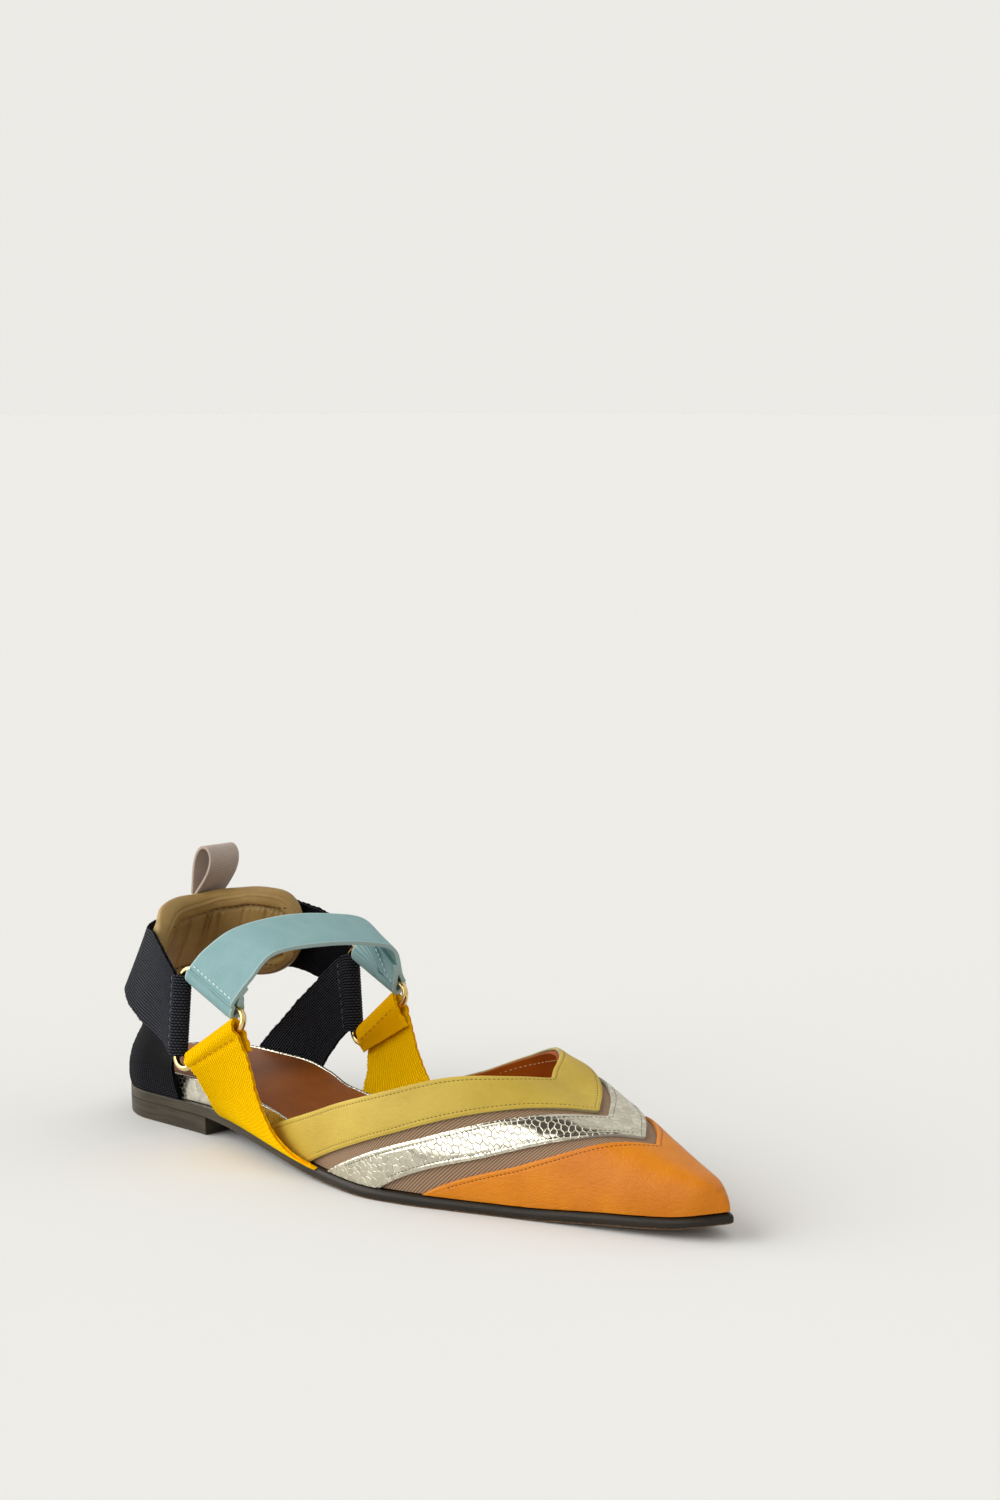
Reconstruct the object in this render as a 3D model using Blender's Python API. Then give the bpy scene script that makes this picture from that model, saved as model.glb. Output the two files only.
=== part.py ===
"""Slingback flat, right shoe: pointed vamp, low heel, webbing straps held by two triangular rings.

Sizes are in millimetres in the shoe's own frame: x from the back of the heel to the toe,
y towards the inner (medial) side of the foot, z up from the floor. Meshes are scaled to metres.
"""
import bmesh
import bpy
import numpy as np

MM = 0.001
GAP = 0.3                     # clearance between pieces that touch
SHARP_ANGLE = np.radians(40)  # edges bent further than this stay crisp

# Sole
LENGTH = 265.0                # heel back to toe tip
HEEL_ROUND = 25.0             # length of the heel's rounded back
TOE_ROUND = 10.0              # length of the rounded toe tip
HEEL_HEIGHT = 6.2             # floor to the heel seat
BREAST = 57.0                 # station of the heel's front face
SOLE_THICK = 3.5
SOLE_EDGE = 0.8               # rounding of the sole's edge
END_STEPS, HEEL_STEPS, SOLE_STEPS = 8, 6, 32   # stations round an end, on the heel, along the sole
HEEL_TAPER = 0.7              # how far the heel draws in at the floor
OUTLINE = {                   # sole edge: lateral and medial distance from the centre plane
    "station": (0.0, 50.0, 72.0, 92.0, 120.0, 150.0, 165.0, 182.0, 200.0, 220.0, 240.0, 254.0, 265.0),
    "lateral": (24.2, 24.2, 27.2, 31.5, 37.0, 40.4, 37.6, 31.8, 24.9, 17.9, 11.2, 5.4, -0.8),
    "medial": (27.6, 27.0, 22.5, 17.6, 21.5, 33.0, 35.0, 32.2, 27.6, 22.6, 17.4, 13.0, 7.4),
}
UNDERSIDE = {                 # height of the outsole's underside
    "station": (0.0, 57.0, 80.0, 105.0, 130.0, 156.0, 200.0, 230.0, 265.0),
    "height": (6.2, 6.2, 5.3, 3.2, 0.9, 0.0, 0.0, 1.6, 5.3),
}

# Footbed and sock
FOOTBED = {                   # thickness over the outsole and draw-in from the sole edge
    "station": (0.0, 45.0, 72.0, 90.0, 150.0, 265.0),
    "thick": (6.6, 6.6, 6.6, 6.4, 3.2, 2.6),
    "inset": (2.0, 2.0, 3.2, 4.8, 5.4, 5.4),
}
FOOTBED_EDGE = 0.9
FOOTBED_TIP = 250.0           # its front end, inside the toe
SOCK_THICK = 1.0
SOCK_INSET = 1.3              # silver lip left showing round the sock

# Vamp
VAMP_INSET = 1.2              # outer face, in from the sole edge
OVERLAY = 1.0                 # leather panels over the vamp
WALL = 1.4                    # mesh and lining together
UPPER_ROWS = {                # rows of the upper between its lines, throat to toe
    "topline_band": 5, "upper_mesh": 1, "silver_band": 4, "lower_mesh": 1, "toe_panel": 11,
}
WALL_Y = 0.74                 # fullness of the section, sideways
WALL_Z = 0.95                 # fullness of the section, upwards
CREST = {                     # ridge of the vamp: height and offset from the centre plane
    "station": (60.0, 90.0, 150.0, 193.0, 215.0, 235.0, 255.0, 265.0),
    "height": (74.0, 68.0, 57.5, 38.3, 30.8, 25.2, 19.6, 17.0),
    "offset": (0.6, 0.6, 0.6, 1.8, 2.4, 3.0, 3.5, 3.8),
}
MEDIAL = {                    # inner side of the upper: swell beside the ridge, fullness sideways and upwards
    "station": (140.0, 170.0, 193.0, 215.0, 235.0, 255.0, 265.0),
    "swell": (0.0, 1.6, 4.2, 3.8, 1.0, 0.0, 0.0),
    "sideways": (0.74, 0.63, 0.61, 0.61, 0.61, 0.61, 0.61),
    "upwards": (0.95, 0.815, 0.79, 0.79, 0.79, 0.79, 0.79),
}
TOPLINE = {                   # throat edge: station over the share of the way from ridge to sole
    "share": (0.0, 0.2, 0.4, 0.6, 0.8, 1.0),
    "station": (193.0, 185.6, 174.0, 158.0, 127.5, 90.4),
}
CHEVRON = {                   # how a band's edge falls back from its point on the ridge
    "share": (0.0, 0.25, 0.5, 0.75, 1.0),
    "fall": (0.0, 0.115, 0.28, 0.53, 1.0),
}
BAND_EDGES = {                # station on the ridge, and how far back the edge meets the sole
    "topline_band": (212.7, 90.4),
    "silver_upper": (216.3, 83.7),
    "silver_lower": (231.4, 74.2),
    "toe_panel": (235.7, 63.6),
}
SECTION_COLUMNS = 22

# Rings
WIRE = 2.2
WIRE_SIDES = 8
CORNER_STEPS = 7
RING_SIDE = 40.6              # sharp corner to sharp corner, along the wire's centre
RING_CORNER = 4.0             # bend radius of the wire's centre
RINGS = {                     # centre, nose-up tilt, inward lean of the top, turn of the nose to medial
    "ring_lateral": {"centre": (69.8, -36.6, 44.0), "tilt": 8.0, "lean": 6.0, "turn": -1.0, "side": -1},
    "ring_medial": {"centre": (81.3, 32.0, 43.4), "tilt": 7.0, "lean": -1.0, "turn": -13.0, "side": 1},
}

# Straps
WEBBING = 1.4
NAVY_WIDTH = 27.0
YELLOW_WIDTH = 27.6
BLUE_WIDTH = 25.0
FOLD_STEPS = 6
FOLD_SLACK = 0.1              # looseness of a ribbon round its bar
RIBBON_COLUMNS = 5
STRAP_INSET = 0.6             # strap foot's middle, in from the sole edge
NAVY_FEET = {                 # stations of the foot, and height over which it follows the footbed wall
    "ring_lateral": {"ends": (8.5, 42.6), "rise": 14.0},
    "ring_medial": {"ends": (20.0, 58.0), "rise": 4.0},
}
NAVY_BEHIND = 3.0             # length that stays in line with the ring
HEEL_ARM = {                  # upper arm round the heel: upper edge x y z, lower edge x y z
    "lateral side": (46.0, -32.6, 64.0, 49.0, -36.2, 34.0),
    "lateral bend": (33.0, -25.6, 69.6, 31.0, -31.2, 37.5),
    "lateral quarter": (22.0, -17.6, 70.8, 15.0, -24.0, 41.5),
    "lateral back": (15.6, -9.0, 70.9, 6.2, -15.5, 44.5),
    "back": (13.5, 2.0, 71.2, 2.0, 0.0, 46.5),
    "medial back": (16.0, 13.0, 72.2, 5.2, 14.5, 47.5),
    "medial quarter": (25.0, 21.6, 73.0, 15.0, 24.6, 48.0),
    "medial bend": (36.0, 25.8, 73.2, 28.0, 29.2, 48.0),
    "medial side": (48.0, 30.4, 71.6, 45.0, 33.0, 46.5),
    "medial ring": (59.5, 34.8, 66.2, 59.5, 36.6, 40.0),
}
YELLOW_FEET = {"ring_lateral": (63.0, 128.0), "ring_medial": (87.0, 132.0)}
YELLOW_INSET = -0.1           # strap foot's middle, against the vamp's wing
YELLOW_BEND = {               # control points between ring and foot: x y z, rear edge then front edge
    "ring_lateral": ((70.0, -40.5, 20.5, 95.5, -39.0, 28.0), (70.0, -33.0, 13.5, 99.0, -36.5, 12.5)),
    "ring_medial": ((81.5, 34.6, 20.0, 102.0, 29.0, 32.0), (86.5, 26.0, 16.0, 109.0, 25.5, 17.0)),
}
YELLOW_RETURN = 9.5           # length of the end sewn back behind the ring
BLUE_RETURN = 11.0
RETURN_STRETCH = (4.5, 9.5)   # distances from the bar where the end leaves the fold and lies close
INSTEP_ARCH = {               # blue strap over the instep: rear edge x y z, front edge x y z
    "lateral ring": (63.4, -36.8, 62.8, 85.6, -37.8, 53.8),
    "lateral side": (63.8, -32.0, 67.4, 87.0, -33.2, 59.6),
    "lateral shoulder": (66.0, -20.0, 71.6, 88.8, -21.0, 64.0),
    "crown": (71.0, -1.0, 74.2, 93.0, -1.0, 67.2),
    "medial shoulder": (75.2, 16.0, 72.8, 95.0, 16.0, 65.4),
    "medial side": (75.2, 29.0, 68.2, 96.0, 25.6, 60.6),
    "medial ring": (74.8, 34.4, 62.4, 96.2, 29.6, 53.6),
}

# Heel pad and pull loop
PAD_HEIGHT = 35.0
PAD_LIFT = 0.8                # pad's middle, above the strap's
PAD_THICK = 7.5
PAD_STATIONS = (1.6, 8.3)     # first and last row of HEEL_ARM that the pad reaches
PAD_STEPS = (24, 18)          # along and round
PAD_SQUARE = 0.6
PAD_END = 7.0                 # squareness of the rounded ends
LOOP_STATION = 4.75
LOOP_TURN = np.radians(8)    # loop's axis, turned from straight across the heel
LOOP_WIDTH = 15.0
LOOP_RIBBON = 1.0
LOOP_RISE = 18.5              # above the heel strap's upper edge
LOOP_BULGE = 5.6              # half width of the loop's round top
LOOP_BEHIND = 0.9             # loop's ends, outside the strap's middle
LOOP_CLEAR = 2.6              # loop's ends, above the strap's edge
LOOP_STEPS = 24
LOOP_COLUMNS = 2


def smooth(stations, values):
    """Monotone cubic curve through a table's column."""
    x = np.asarray(stations, float)
    y = np.asarray(values, float)
    step = np.diff(x)
    slope = np.diff(y) / step
    tangent = np.concatenate([slope[:1], np.zeros(len(x) - 2), slope[-1:]])
    for i in range(1, len(x) - 1):
        if slope[i - 1] * slope[i] > 0:
            before = 2 * step[i] + step[i - 1]
            after = step[i] + 2 * step[i - 1]
            tangent[i] = (before + after) / (before / slope[i - 1] + after / slope[i])

    def value(at):
        at = np.clip(np.asarray(at, float), x[0], x[-1])
        i = np.clip(np.searchsorted(x, at) - 1, 0, len(step) - 1)
        t = (at - x[i]) / step[i]
        rise = (1 + 2 * t) * (1 - t) ** 2 * y[i] + t ** 2 * (3 - 2 * t) * y[i + 1]
        bend = t * (1 - t) ** 2 * tangent[i] - t ** 2 * (1 - t) * tangent[i + 1]
        return rise + bend * step[i]

    return value


def through(rows, per_row):
    """Smooth rows of a ribbon's edges through the given rows, per_row steps between two of them."""
    points = np.asarray(rows, float)
    ends = np.concatenate([2 * points[:1] - points[1:2], points, 2 * points[-1:] - points[-2:-1]])
    out = []
    for i in range(len(points) - 1):
        a, b, c, d = ends[i:i + 4]
        for t in np.arange(per_row) / per_row:
            out.append(0.5 * (2 * b + (c - a) * t + (2 * a - 5 * b + 4 * c - d) * t ** 2
                              + (3 * b - a - 3 * c + d) * t ** 3))
    out.append(points[-1])
    return out


lateral_edge = smooth(OUTLINE["station"], OUTLINE["lateral"])
medial_edge = smooth(OUTLINE["station"], OUTLINE["medial"])
underside = smooth(UNDERSIDE["station"], UNDERSIDE["height"])
footbed_thick = smooth(FOOTBED["station"], FOOTBED["thick"])
footbed_inset = smooth(FOOTBED["station"], FOOTBED["inset"])
crest_height = smooth(CREST["station"], CREST["height"])
crest_offset = smooth(CREST["station"], CREST["offset"])
medial_swell = smooth(MEDIAL["station"], MEDIAL["swell"])
medial_sideways = smooth(MEDIAL["station"], MEDIAL["sideways"])
medial_upwards = smooth(MEDIAL["station"], MEDIAL["upwards"])
topline_station = smooth(TOPLINE["share"], TOPLINE["station"])
chevron_fall = smooth(CHEVRON["share"], CHEVRON["fall"])


def toe_rounding(x, tip):
    """1 along the sole, falling to 0 on a quarter ellipse at the toe's tip."""
    past = np.clip((x - tip + TOE_ROUND) / TOE_ROUND, 0, 1)
    return np.sqrt(1 - past ** 2)


def heel_rounding(x, back):
    before = np.clip((back + HEEL_ROUND - x) / HEEL_ROUND, 0, 1)
    return np.sqrt(1 - before ** 2)


def outline(x, inset, back, tip):
    """Lateral and medial y of the sole's edge at station x, drawn in by inset and ending at back and tip."""
    low, high = -lateral_edge(x) + inset, medial_edge(x) - inset
    ends = heel_rounding(x, back) * toe_rounding(x, tip)
    middle, half = (low + high) / 2, (high - low) / 2 * ends
    return middle - half, middle + half


def outsole_top(x):
    return underside(x) + SOLE_THICK


def footbed_top(x):
    return outsole_top(x) + GAP + footbed_thick(x)


def sole_stations(back, tip):
    """Stations from the heel's back to the toe's tip, or to the breast, close where the outline is round."""
    turn = np.sin(np.linspace(0, np.pi / 2, END_STEPS))
    heel = back + HEEL_ROUND * (1 - turn[::-1])
    if tip is None:
        return np.concatenate([heel, np.linspace(back + HEEL_ROUND, BREAST, HEEL_STEPS)[1:]])
    toe = tip - TOE_ROUND * (1 - turn)
    return np.concatenate([heel, np.linspace(back + HEEL_ROUND, tip - TOE_ROUND, SOLE_STEPS)[1:-1], toe])


def new_object(name, bm, finish, parent):
    """Scales a finished mesh to metres and links it with its own material."""
    colour, roughness, metallic = finish
    bmesh.ops.recalc_face_normals(bm, faces=bm.faces)
    if bm.calc_volume(signed=True) < 0:
        bmesh.ops.reverse_faces(bm, faces=bm.faces)
    mesh = bpy.data.meshes.new(name)
    bm.to_mesh(mesh)
    bm.free()
    for vertex in mesh.vertices:
        vertex.co *= MM
    mesh.shade_smooth()
    mesh.set_sharp_from_angle(angle=SHARP_ANGLE)
    material = bpy.data.materials.new(name)
    material.use_nodes = True
    shader = material.node_tree.nodes["Principled BSDF"]
    shader.inputs["Base Color"].default_value = (*colour, 1.0)
    shader.inputs["Roughness"].default_value = roughness
    shader.inputs["Metallic"].default_value = metallic
    mesh.materials.append(material)
    piece = bpy.data.objects.new(name, mesh)
    piece.parent = parent
    bpy.context.scene.collection.objects.link(piece)
    return piece


def slab(layers):
    """Closed slab with the sole's outline; each layer has an inset and a height over x, and a tip."""
    bm = bmesh.new()
    loops = []
    for inset, height, tip in layers:
        back = float(inset(0.0))
        x = sole_stations(back, tip)
        low, high = outline(x, inset(x), back, LENGTH if tip is None else tip)
        z = height(x)
        lateral = [bm.verts.new(p) for p in zip(x, low, z)]
        last = len(x) if tip is None else len(x) - 1
        medial = [bm.verts.new(p) for p in zip(x[1:last], high[1:last], z[1:last])]
        medial = lateral[:1] + medial + ([] if tip is None else lateral[-1:])
        loops.append((lateral, medial))
    for (low_a, high_a), (low_b, high_b) in zip(loops, loops[1:]):
        for a, b in ((low_a, low_b), (high_b, high_a)):
            for i in range(len(a) - 1):
                bm.faces.new((a[i], a[i + 1], b[i + 1], b[i]))
        if low_a[-1] is not high_a[-1]:
            bm.faces.new((low_a[-1], high_a[-1], high_b[-1], low_b[-1]))
    for low, high in (loops[0], loops[-1]):
        for i in range(len(low) - 1):
            bm.faces.new(dict.fromkeys((low[i], low[i + 1], high[i + 1], high[i])))
    return bm


def even(value):
    """The same inset all along the sole."""
    return lambda x: 0 * x + value


def make_outsole():
    return slab([
        (even(SOLE_EDGE), underside, LENGTH - SOLE_EDGE),
        (even(0.0), lambda x: underside(x) + SOLE_EDGE, LENGTH),
        (even(0.0), lambda x: outsole_top(x) - SOLE_EDGE, LENGTH),
        (even(SOLE_EDGE), outsole_top, LENGTH - SOLE_EDGE),
    ])


def make_heel():
    return slab([
        (even(HEEL_TAPER + SOLE_EDGE), even(0.0), None),
        (even(HEEL_TAPER), even(SOLE_EDGE), None),
        (even(0.0), even(HEEL_HEIGHT - GAP), None),
    ])


def make_footbed():
    return slab([
        (footbed_inset, lambda x: outsole_top(x) + GAP, FOOTBED_TIP),
        (footbed_inset, lambda x: footbed_top(x) - FOOTBED_EDGE, FOOTBED_TIP),
        (lambda x: footbed_inset(x) + FOOTBED_EDGE, footbed_top, FOOTBED_TIP - FOOTBED_EDGE),
    ])


def make_sock():
    def inset(x):
        return footbed_inset(x) + SOCK_INSET

    tip = FOOTBED_TIP - SOCK_INSET
    return slab([
        (inset, lambda x: footbed_top(x) + GAP, tip),
        (inset, lambda x: footbed_top(x) + GAP + SOCK_THICK / 2, tip),
        (lambda x: inset(x) + SOCK_THICK / 2, lambda x: footbed_top(x) + GAP + SOCK_THICK, tip - SOCK_THICK / 2),
    ])


def vamp_point(x, share, depth):
    """Point of the upper at station x; share runs -1 lateral sole, 0 ridge, 1 medial sole."""
    inset = VAMP_INSET + depth
    tip = LENGTH - inset
    low, high = outline(x, inset, inset, tip)
    foot = outsole_top(x) + GAP
    closing = toe_rounding(x, tip)
    rise = (crest_height(x) - depth - foot) * closing
    centre = (low + high) / 2
    ridge = centre + (crest_offset(x) - centre) * closing
    turn = abs(share) * np.pi / 2
    flat = max(np.cos(turn), 0.0)
    if share < 0:
        y = ridge + (low - ridge) * np.sin(turn) ** WALL_Y
        return x, y, foot + rise * flat ** WALL_Z
    y = ridge + (high - ridge) * np.sin(turn) ** medial_sideways(x)
    swell = medial_swell(x) * closing * np.sin(2 * turn)
    return x, y, foot + rise * flat ** medial_upwards(x) + swell


def upper_lines(share, tip):
    """Stations of the upper's cross lines at one share of its section, from throat to toe tip."""
    away = abs(share)
    knots = [float(topline_station(away))]
    knots += [point - reach * float(chevron_fall(away)) for point, reach in BAND_EDGES.values()]
    knots.append(tip)
    stations = knots[:1]
    for rows, first, last in zip(UPPER_ROWS.values(), knots, knots[1:]):
        part = np.arange(1, rows + 1) / rows
        if last == tip:
            part = 1 - (1 - part) ** 2
        stations.extend(first + (last - first) * part)
    return stations


def shell(stretch, outer, inner):
    """Closed wall between two depths of the upper, over one of its stretches or the whole of it."""
    rows = list(UPPER_ROWS)
    ends = np.cumsum([0, *UPPER_ROWS.values()])
    first, last = (0, ends[-1]) if stretch is None else ends[rows.index(stretch):][:2]
    bm = bmesh.new()
    shares = np.linspace(-1, 1, SECTION_COLUMNS + 1)
    faces = []
    for depth in (outer, inner):
        tip = LENGTH - VAMP_INSET - depth
        lines = [upper_lines(share, tip) for share in shares]
        grid = []
        for k in range(first, last + 1):
            if k == ends[-1]:
                grid.append([bm.verts.new(vamp_point(tip, 0.0, depth))] * len(shares))
            else:
                grid.append([bm.verts.new(vamp_point(line[k], share, depth))
                             for line, share in zip(lines, shares)])
        faces.append(grid)
    close_wall(bm, *faces)
    return bm


def close_wall(bm, near, far):
    """Faces of a wall between two grids of vertices, with its rims; a row of one vertex is a tip."""
    for grid in (near, far):
        for a, b in zip(grid, grid[1:]):
            for j in range(len(a) - 1):
                bm.faces.new(dict.fromkeys((a[j], a[j + 1], b[j + 1], b[j])))
    rims = [(row_near, row_far) for row_near, row_far in ((near[0], far[0]), (near[-1], far[-1]))
            if row_near[0] is not row_near[-1]]
    for side in (0, -1):
        rims.append(([row[side] for row in near], [row[side] for row in far]))
    for a, b in rims:
        for i in range(len(a) - 1):
            bm.faces.new((a[i], a[i + 1], b[i + 1], b[i]))


def make_vamp():
    return shell(None, OVERLAY + GAP, OVERLAY + GAP + WALL)


def make_overlay(stretch):
    return shell(stretch, 0.0, OVERLAY)


class Ring:
    """Triangular wire ring: a rear bar, an upper front bar and a lower front bar."""

    def __init__(self, centre, tilt, lean, turn, side):
        self.centre = np.array(centre)
        self.side = side
        tilt, lean, turn = np.radians((tilt, lean, turn))
        ahead = np.array([np.cos(turn), np.sin(turn), 0.0])
        across = np.array([-np.sin(turn), np.cos(turn), 0.0])
        up = np.cos(lean) * np.array([0.0, 0.0, 1.0]) - side * np.sin(lean) * across
        self.ahead = np.cos(tilt) * ahead + np.sin(tilt) * up
        self.up = np.cos(tilt) * up - np.sin(tilt) * ahead
        self.outward = side * (np.cos(lean) * across + side * np.sin(lean) * np.array([0.0, 0.0, 1.0]))

    def direction(self, degrees):
        return np.cos(np.radians(degrees)) * self.ahead + np.sin(np.radians(degrees)) * self.up

    def bar(self, name):
        """Middle of a bar, direction towards its upper or rear end, and direction into the ring."""
        facing = {"rear": 180, "upper": 60, "lower": -60}[name]
        along = {"rear": 90, "upper": 150, "lower": 210}[name]
        reach = RING_SIDE / (2 * np.sqrt(3))
        return self.centre + reach * self.direction(facing), self.direction(along), -self.direction(facing)

    def wire(self):
        """Points along the wire's centre, with round corners."""
        corner_reach = RING_SIDE / np.sqrt(3) - 2 * RING_CORNER
        points = []
        for corner in (0, 120, 240):
            middle = self.centre + corner_reach * self.direction(corner)
            for turn in np.linspace(-60, 60, CORNER_STEPS):
                points.append(middle + RING_CORNER * self.direction(corner + turn))
        return np.array(points)


def make_ring(ring):
    bm = bmesh.new()
    points = ring.wire()
    plane = ring.outward
    loops = []
    for i, point in enumerate(points):
        tangent = points[(i + 1) % len(points)] - points[i - 1]
        tangent /= np.linalg.norm(tangent)
        out = np.cross(tangent, plane)
        spin = np.linspace(0, 2 * np.pi, WIRE_SIDES, endpoint=False)
        loops.append([bm.verts.new(point + WIRE / 2 * (np.cos(a) * out + np.sin(a) * plane)) for a in spin])
    for i, loop in enumerate(loops):
        ahead = loops[(i + 1) % len(loops)]
        for j in range(len(loop)):
            k = (j + 1) % len(loop)
            bm.faces.new((loop[j], loop[k], ahead[k], ahead[j]))
    return bm


def across(first, second, count=RIBBON_COLUMNS):
    """Points across a ribbon, from its first edge to its second."""
    share = np.linspace(0, 1, count + 1)[:, None]
    return np.asarray(first) * (1 - share) + np.asarray(second) * share


def fold_radius(thick):
    return WIRE / 2 + GAP + thick / 2 + FOLD_SLACK


def fold(ring, bar, width):
    """Ribbon rows round a bar through the ring, from the foot's side to the outside."""
    middle, along, inward = ring.bar(bar)
    rows = []
    for turn in np.linspace(-np.pi / 2, np.pi / 2, FOLD_STEPS + 1):
        at = middle + fold_radius(WEBBING) * (np.cos(turn) * inward + np.sin(turn) * ring.outward)
        rows.append(across(at + along * width / 2, at - along * width / 2))
    return rows


def normals(grid):
    """Unit normals of a ribbon's grid of points."""
    out = np.cross(np.gradient(grid, axis=0), np.gradient(grid, axis=1))
    return out / np.linalg.norm(out, axis=2)[:, :, None]


def ribbon(grid, thick):
    """Closed ribbon of even thickness over a grid of points, rows along it and columns across."""
    grid = np.asarray(grid)
    bm = bmesh.new()
    faces = [[[bm.verts.new(p) for p in row] for row in grid + normals(grid) * offset]
             for offset in (thick / 2, -thick / 2)]
    close_wall(bm, *faces)
    return bm


def return_end(ring, strap, length):
    """Short end sewn back behind a strap's first rows, from its cut to the fold."""
    grid = np.asarray(strap)
    middle = grid.mean(axis=1)
    run = np.concatenate([[0], np.cumsum(np.linalg.norm(np.diff(middle, axis=0), axis=1))])
    behind = normals(grid)
    behind *= -np.sign(behind[0].mean(axis=0) @ ring.outward)
    close = WEBBING + GAP + FOLD_SLACK
    away = np.interp(run, RETURN_STRETCH, (2 * fold_radius(WEBBING), close))
    rows = grid + behind * away[:, None, None]
    return [rows[i] for i in range(len(rows)) if RETURN_STRETCH[0] <= run[i] <= length][::-1]


def sole_stretch(ring, ends, inset):
    """Points along the top of the outsole where a strap is tucked in, rear end first."""
    x = np.linspace(*ends, RIBBON_COLUMNS + 1)
    low, high = outline(x, inset, inset, LENGTH - inset)
    return np.stack([x, low if ring.side < 0 else high, outsole_top(x) + GAP], axis=1)


def bezier(points, steps):
    """Ribbon rows along a cubic curve from the first set of points to the last."""
    a, b, c, d = points
    return [(1 - t) ** 3 * a + 3 * t * (1 - t) ** 2 * b + 3 * t ** 2 * (1 - t) * c + t ** 3 * d
            for t in np.linspace(0, 1, steps + 1)]


def navy_foot(name):
    """Lower arm from the sole to the ring's rear bar: rises along the footbed, then leans to the ring."""
    ring = rings[name]
    foot = sole_stretch(ring, NAVY_FEET[name]["ends"], STRAP_INSET)
    rise = [0.0, 0.0, NAVY_FEET[name]["rise"]]
    bar = fold(ring, "rear", NAVY_WIDTH)[0]
    behind = bar - ring.bar("rear")[2] * NAVY_BEHIND
    return bezier((foot, foot + rise, behind, bar), 9)[:-1]


def make_heel_strap():
    lateral = fold(rings["ring_lateral"], "rear", NAVY_WIDTH)
    medial = fold(rings["ring_medial"], "rear", NAVY_WIDTH)
    arm = [lateral[-1], *(across(row[:3], row[3:]) for row in HEEL_ARM.values()), medial[-1]]
    grid = navy_foot("ring_lateral") + lateral + through(arm, 3)[1:-1] + medial[::-1]
    return ribbon(grid + navy_foot("ring_medial")[::-1], WEBBING)


def make_forefoot_strap(name):
    ring = rings[name]
    turn = fold(ring, "lower", YELLOW_WIDTH)
    bends = [across(row[:3], row[3:]) for row in YELLOW_BEND[name]]
    foot = sole_stretch(ring, YELLOW_FEET[name], YELLOW_INSET)
    strap = bezier((turn[-1], *bends, foot), 14)
    return ribbon(return_end(ring, strap, YELLOW_RETURN) + turn + strap[1:], WEBBING)


def make_instep_strap():
    lateral, medial = rings["ring_lateral"], rings["ring_medial"]
    start = fold(lateral, "upper", BLUE_WIDTH)
    end = fold(medial, "upper", BLUE_WIDTH)
    strap = through([start[-1], *(across(row[:3], row[3:]) for row in INSTEP_ARCH.values()), end[-1]], 3)
    grid = return_end(lateral, strap, BLUE_RETURN) + start + strap[1:-1] + end[::-1]
    return ribbon(grid + return_end(medial, strap[::-1], BLUE_RETURN)[::-1], WEBBING)


def pad_frame(station):
    """Middle, up and inward directions and half width of the heel strap at a row number of HEEL_ARM."""
    fine = 20
    rows = np.array(through(list(HEEL_ARM.values()), fine))
    at = np.arange(len(rows)) / fine
    row, ahead = (np.array([np.interp(station + shift, at, column) for column in rows.T]) for shift in (0, 0.1))
    up = row[:3] - row[3:]
    width = np.linalg.norm(up)
    up /= width
    inward = np.cross((ahead - row)[:3] + (ahead - row)[3:], up)
    return (row[:3] + row[3:]) / 2, up, inward / np.linalg.norm(inward), width / 2


def superellipse(angle):
    """Cosine and sine squared off towards a rounded rectangle."""
    pair = np.array([np.cos(angle), np.sin(angle)])
    return np.sign(pair) * abs(pair) ** PAD_SQUARE


def make_heel_pad():
    """Pillow against the heel strap's inner face: full rim, rounded ends."""
    bm = bmesh.new()
    long, round_steps = PAD_STEPS
    first, last = PAD_STATIONS
    face = WEBBING / 2 + GAP
    sections = []
    for a in -np.cos(np.linspace(0, np.pi, long + 1))[1:-1]:
        middle, up, inward, _ = pad_frame(first + (last - first) * (a + 1) / 2)
        end = (1 - abs(a) ** PAD_END) ** 0.5
        section = []
        for angle in np.linspace(0, 2 * np.pi, round_steps, endpoint=False):
            bulge, rise = superellipse(angle)
            depth = face + PAD_THICK * (1 + bulge * end) / 2
            section.append(bm.verts.new(middle + up * (PAD_LIFT + rise * end * PAD_HEIGHT / 2) + inward * depth))
        sections.append(section)
    for a, b in zip(sections, sections[1:]):
        for j in range(round_steps):
            bm.faces.new((a[j], a[j - 1], b[j - 1], b[j]))
    for cap in (sections[0], sections[-1]):
        bm.faces.new(cap)
    return bm


def make_pull_loop():
    """Ribbon loop standing on the heel strap's upper edge, behind the pad."""
    middle, up, inward, half = pad_frame(LOOP_STATION)
    base = middle + up * (half + LOOP_CLEAR) - inward * LOOP_BEHIND
    side = np.array([np.sin(LOOP_TURN), np.cos(LOOP_TURN), 0.0])
    up = up - side * (up @ side)
    up /= np.linalg.norm(up)
    inward = np.cross(side, up)
    side *= LOOP_WIDTH / 2
    waist = LOOP_RIBBON / 2 + GAP
    rows = []
    for turn in np.linspace(0, 2 * np.pi, LOOP_STEPS + 1):
        swell = LOOP_BULGE * np.sin(turn) * np.sin(turn / 2) ** 1.5
        height = LOOP_RISE * (1 - np.cos(turn)) / 2
        at = base + up * height + inward * (waist * np.cos(turn / 2) + swell)
        rows.append(across(at - side, at + side, LOOP_COLUMNS))
    return ribbon(rows, LOOP_RIBBON)


for existing in list(bpy.data.objects):
    bpy.data.objects.remove(existing)

rings = {name: Ring(**place) for name, place in RINGS.items()}

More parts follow.
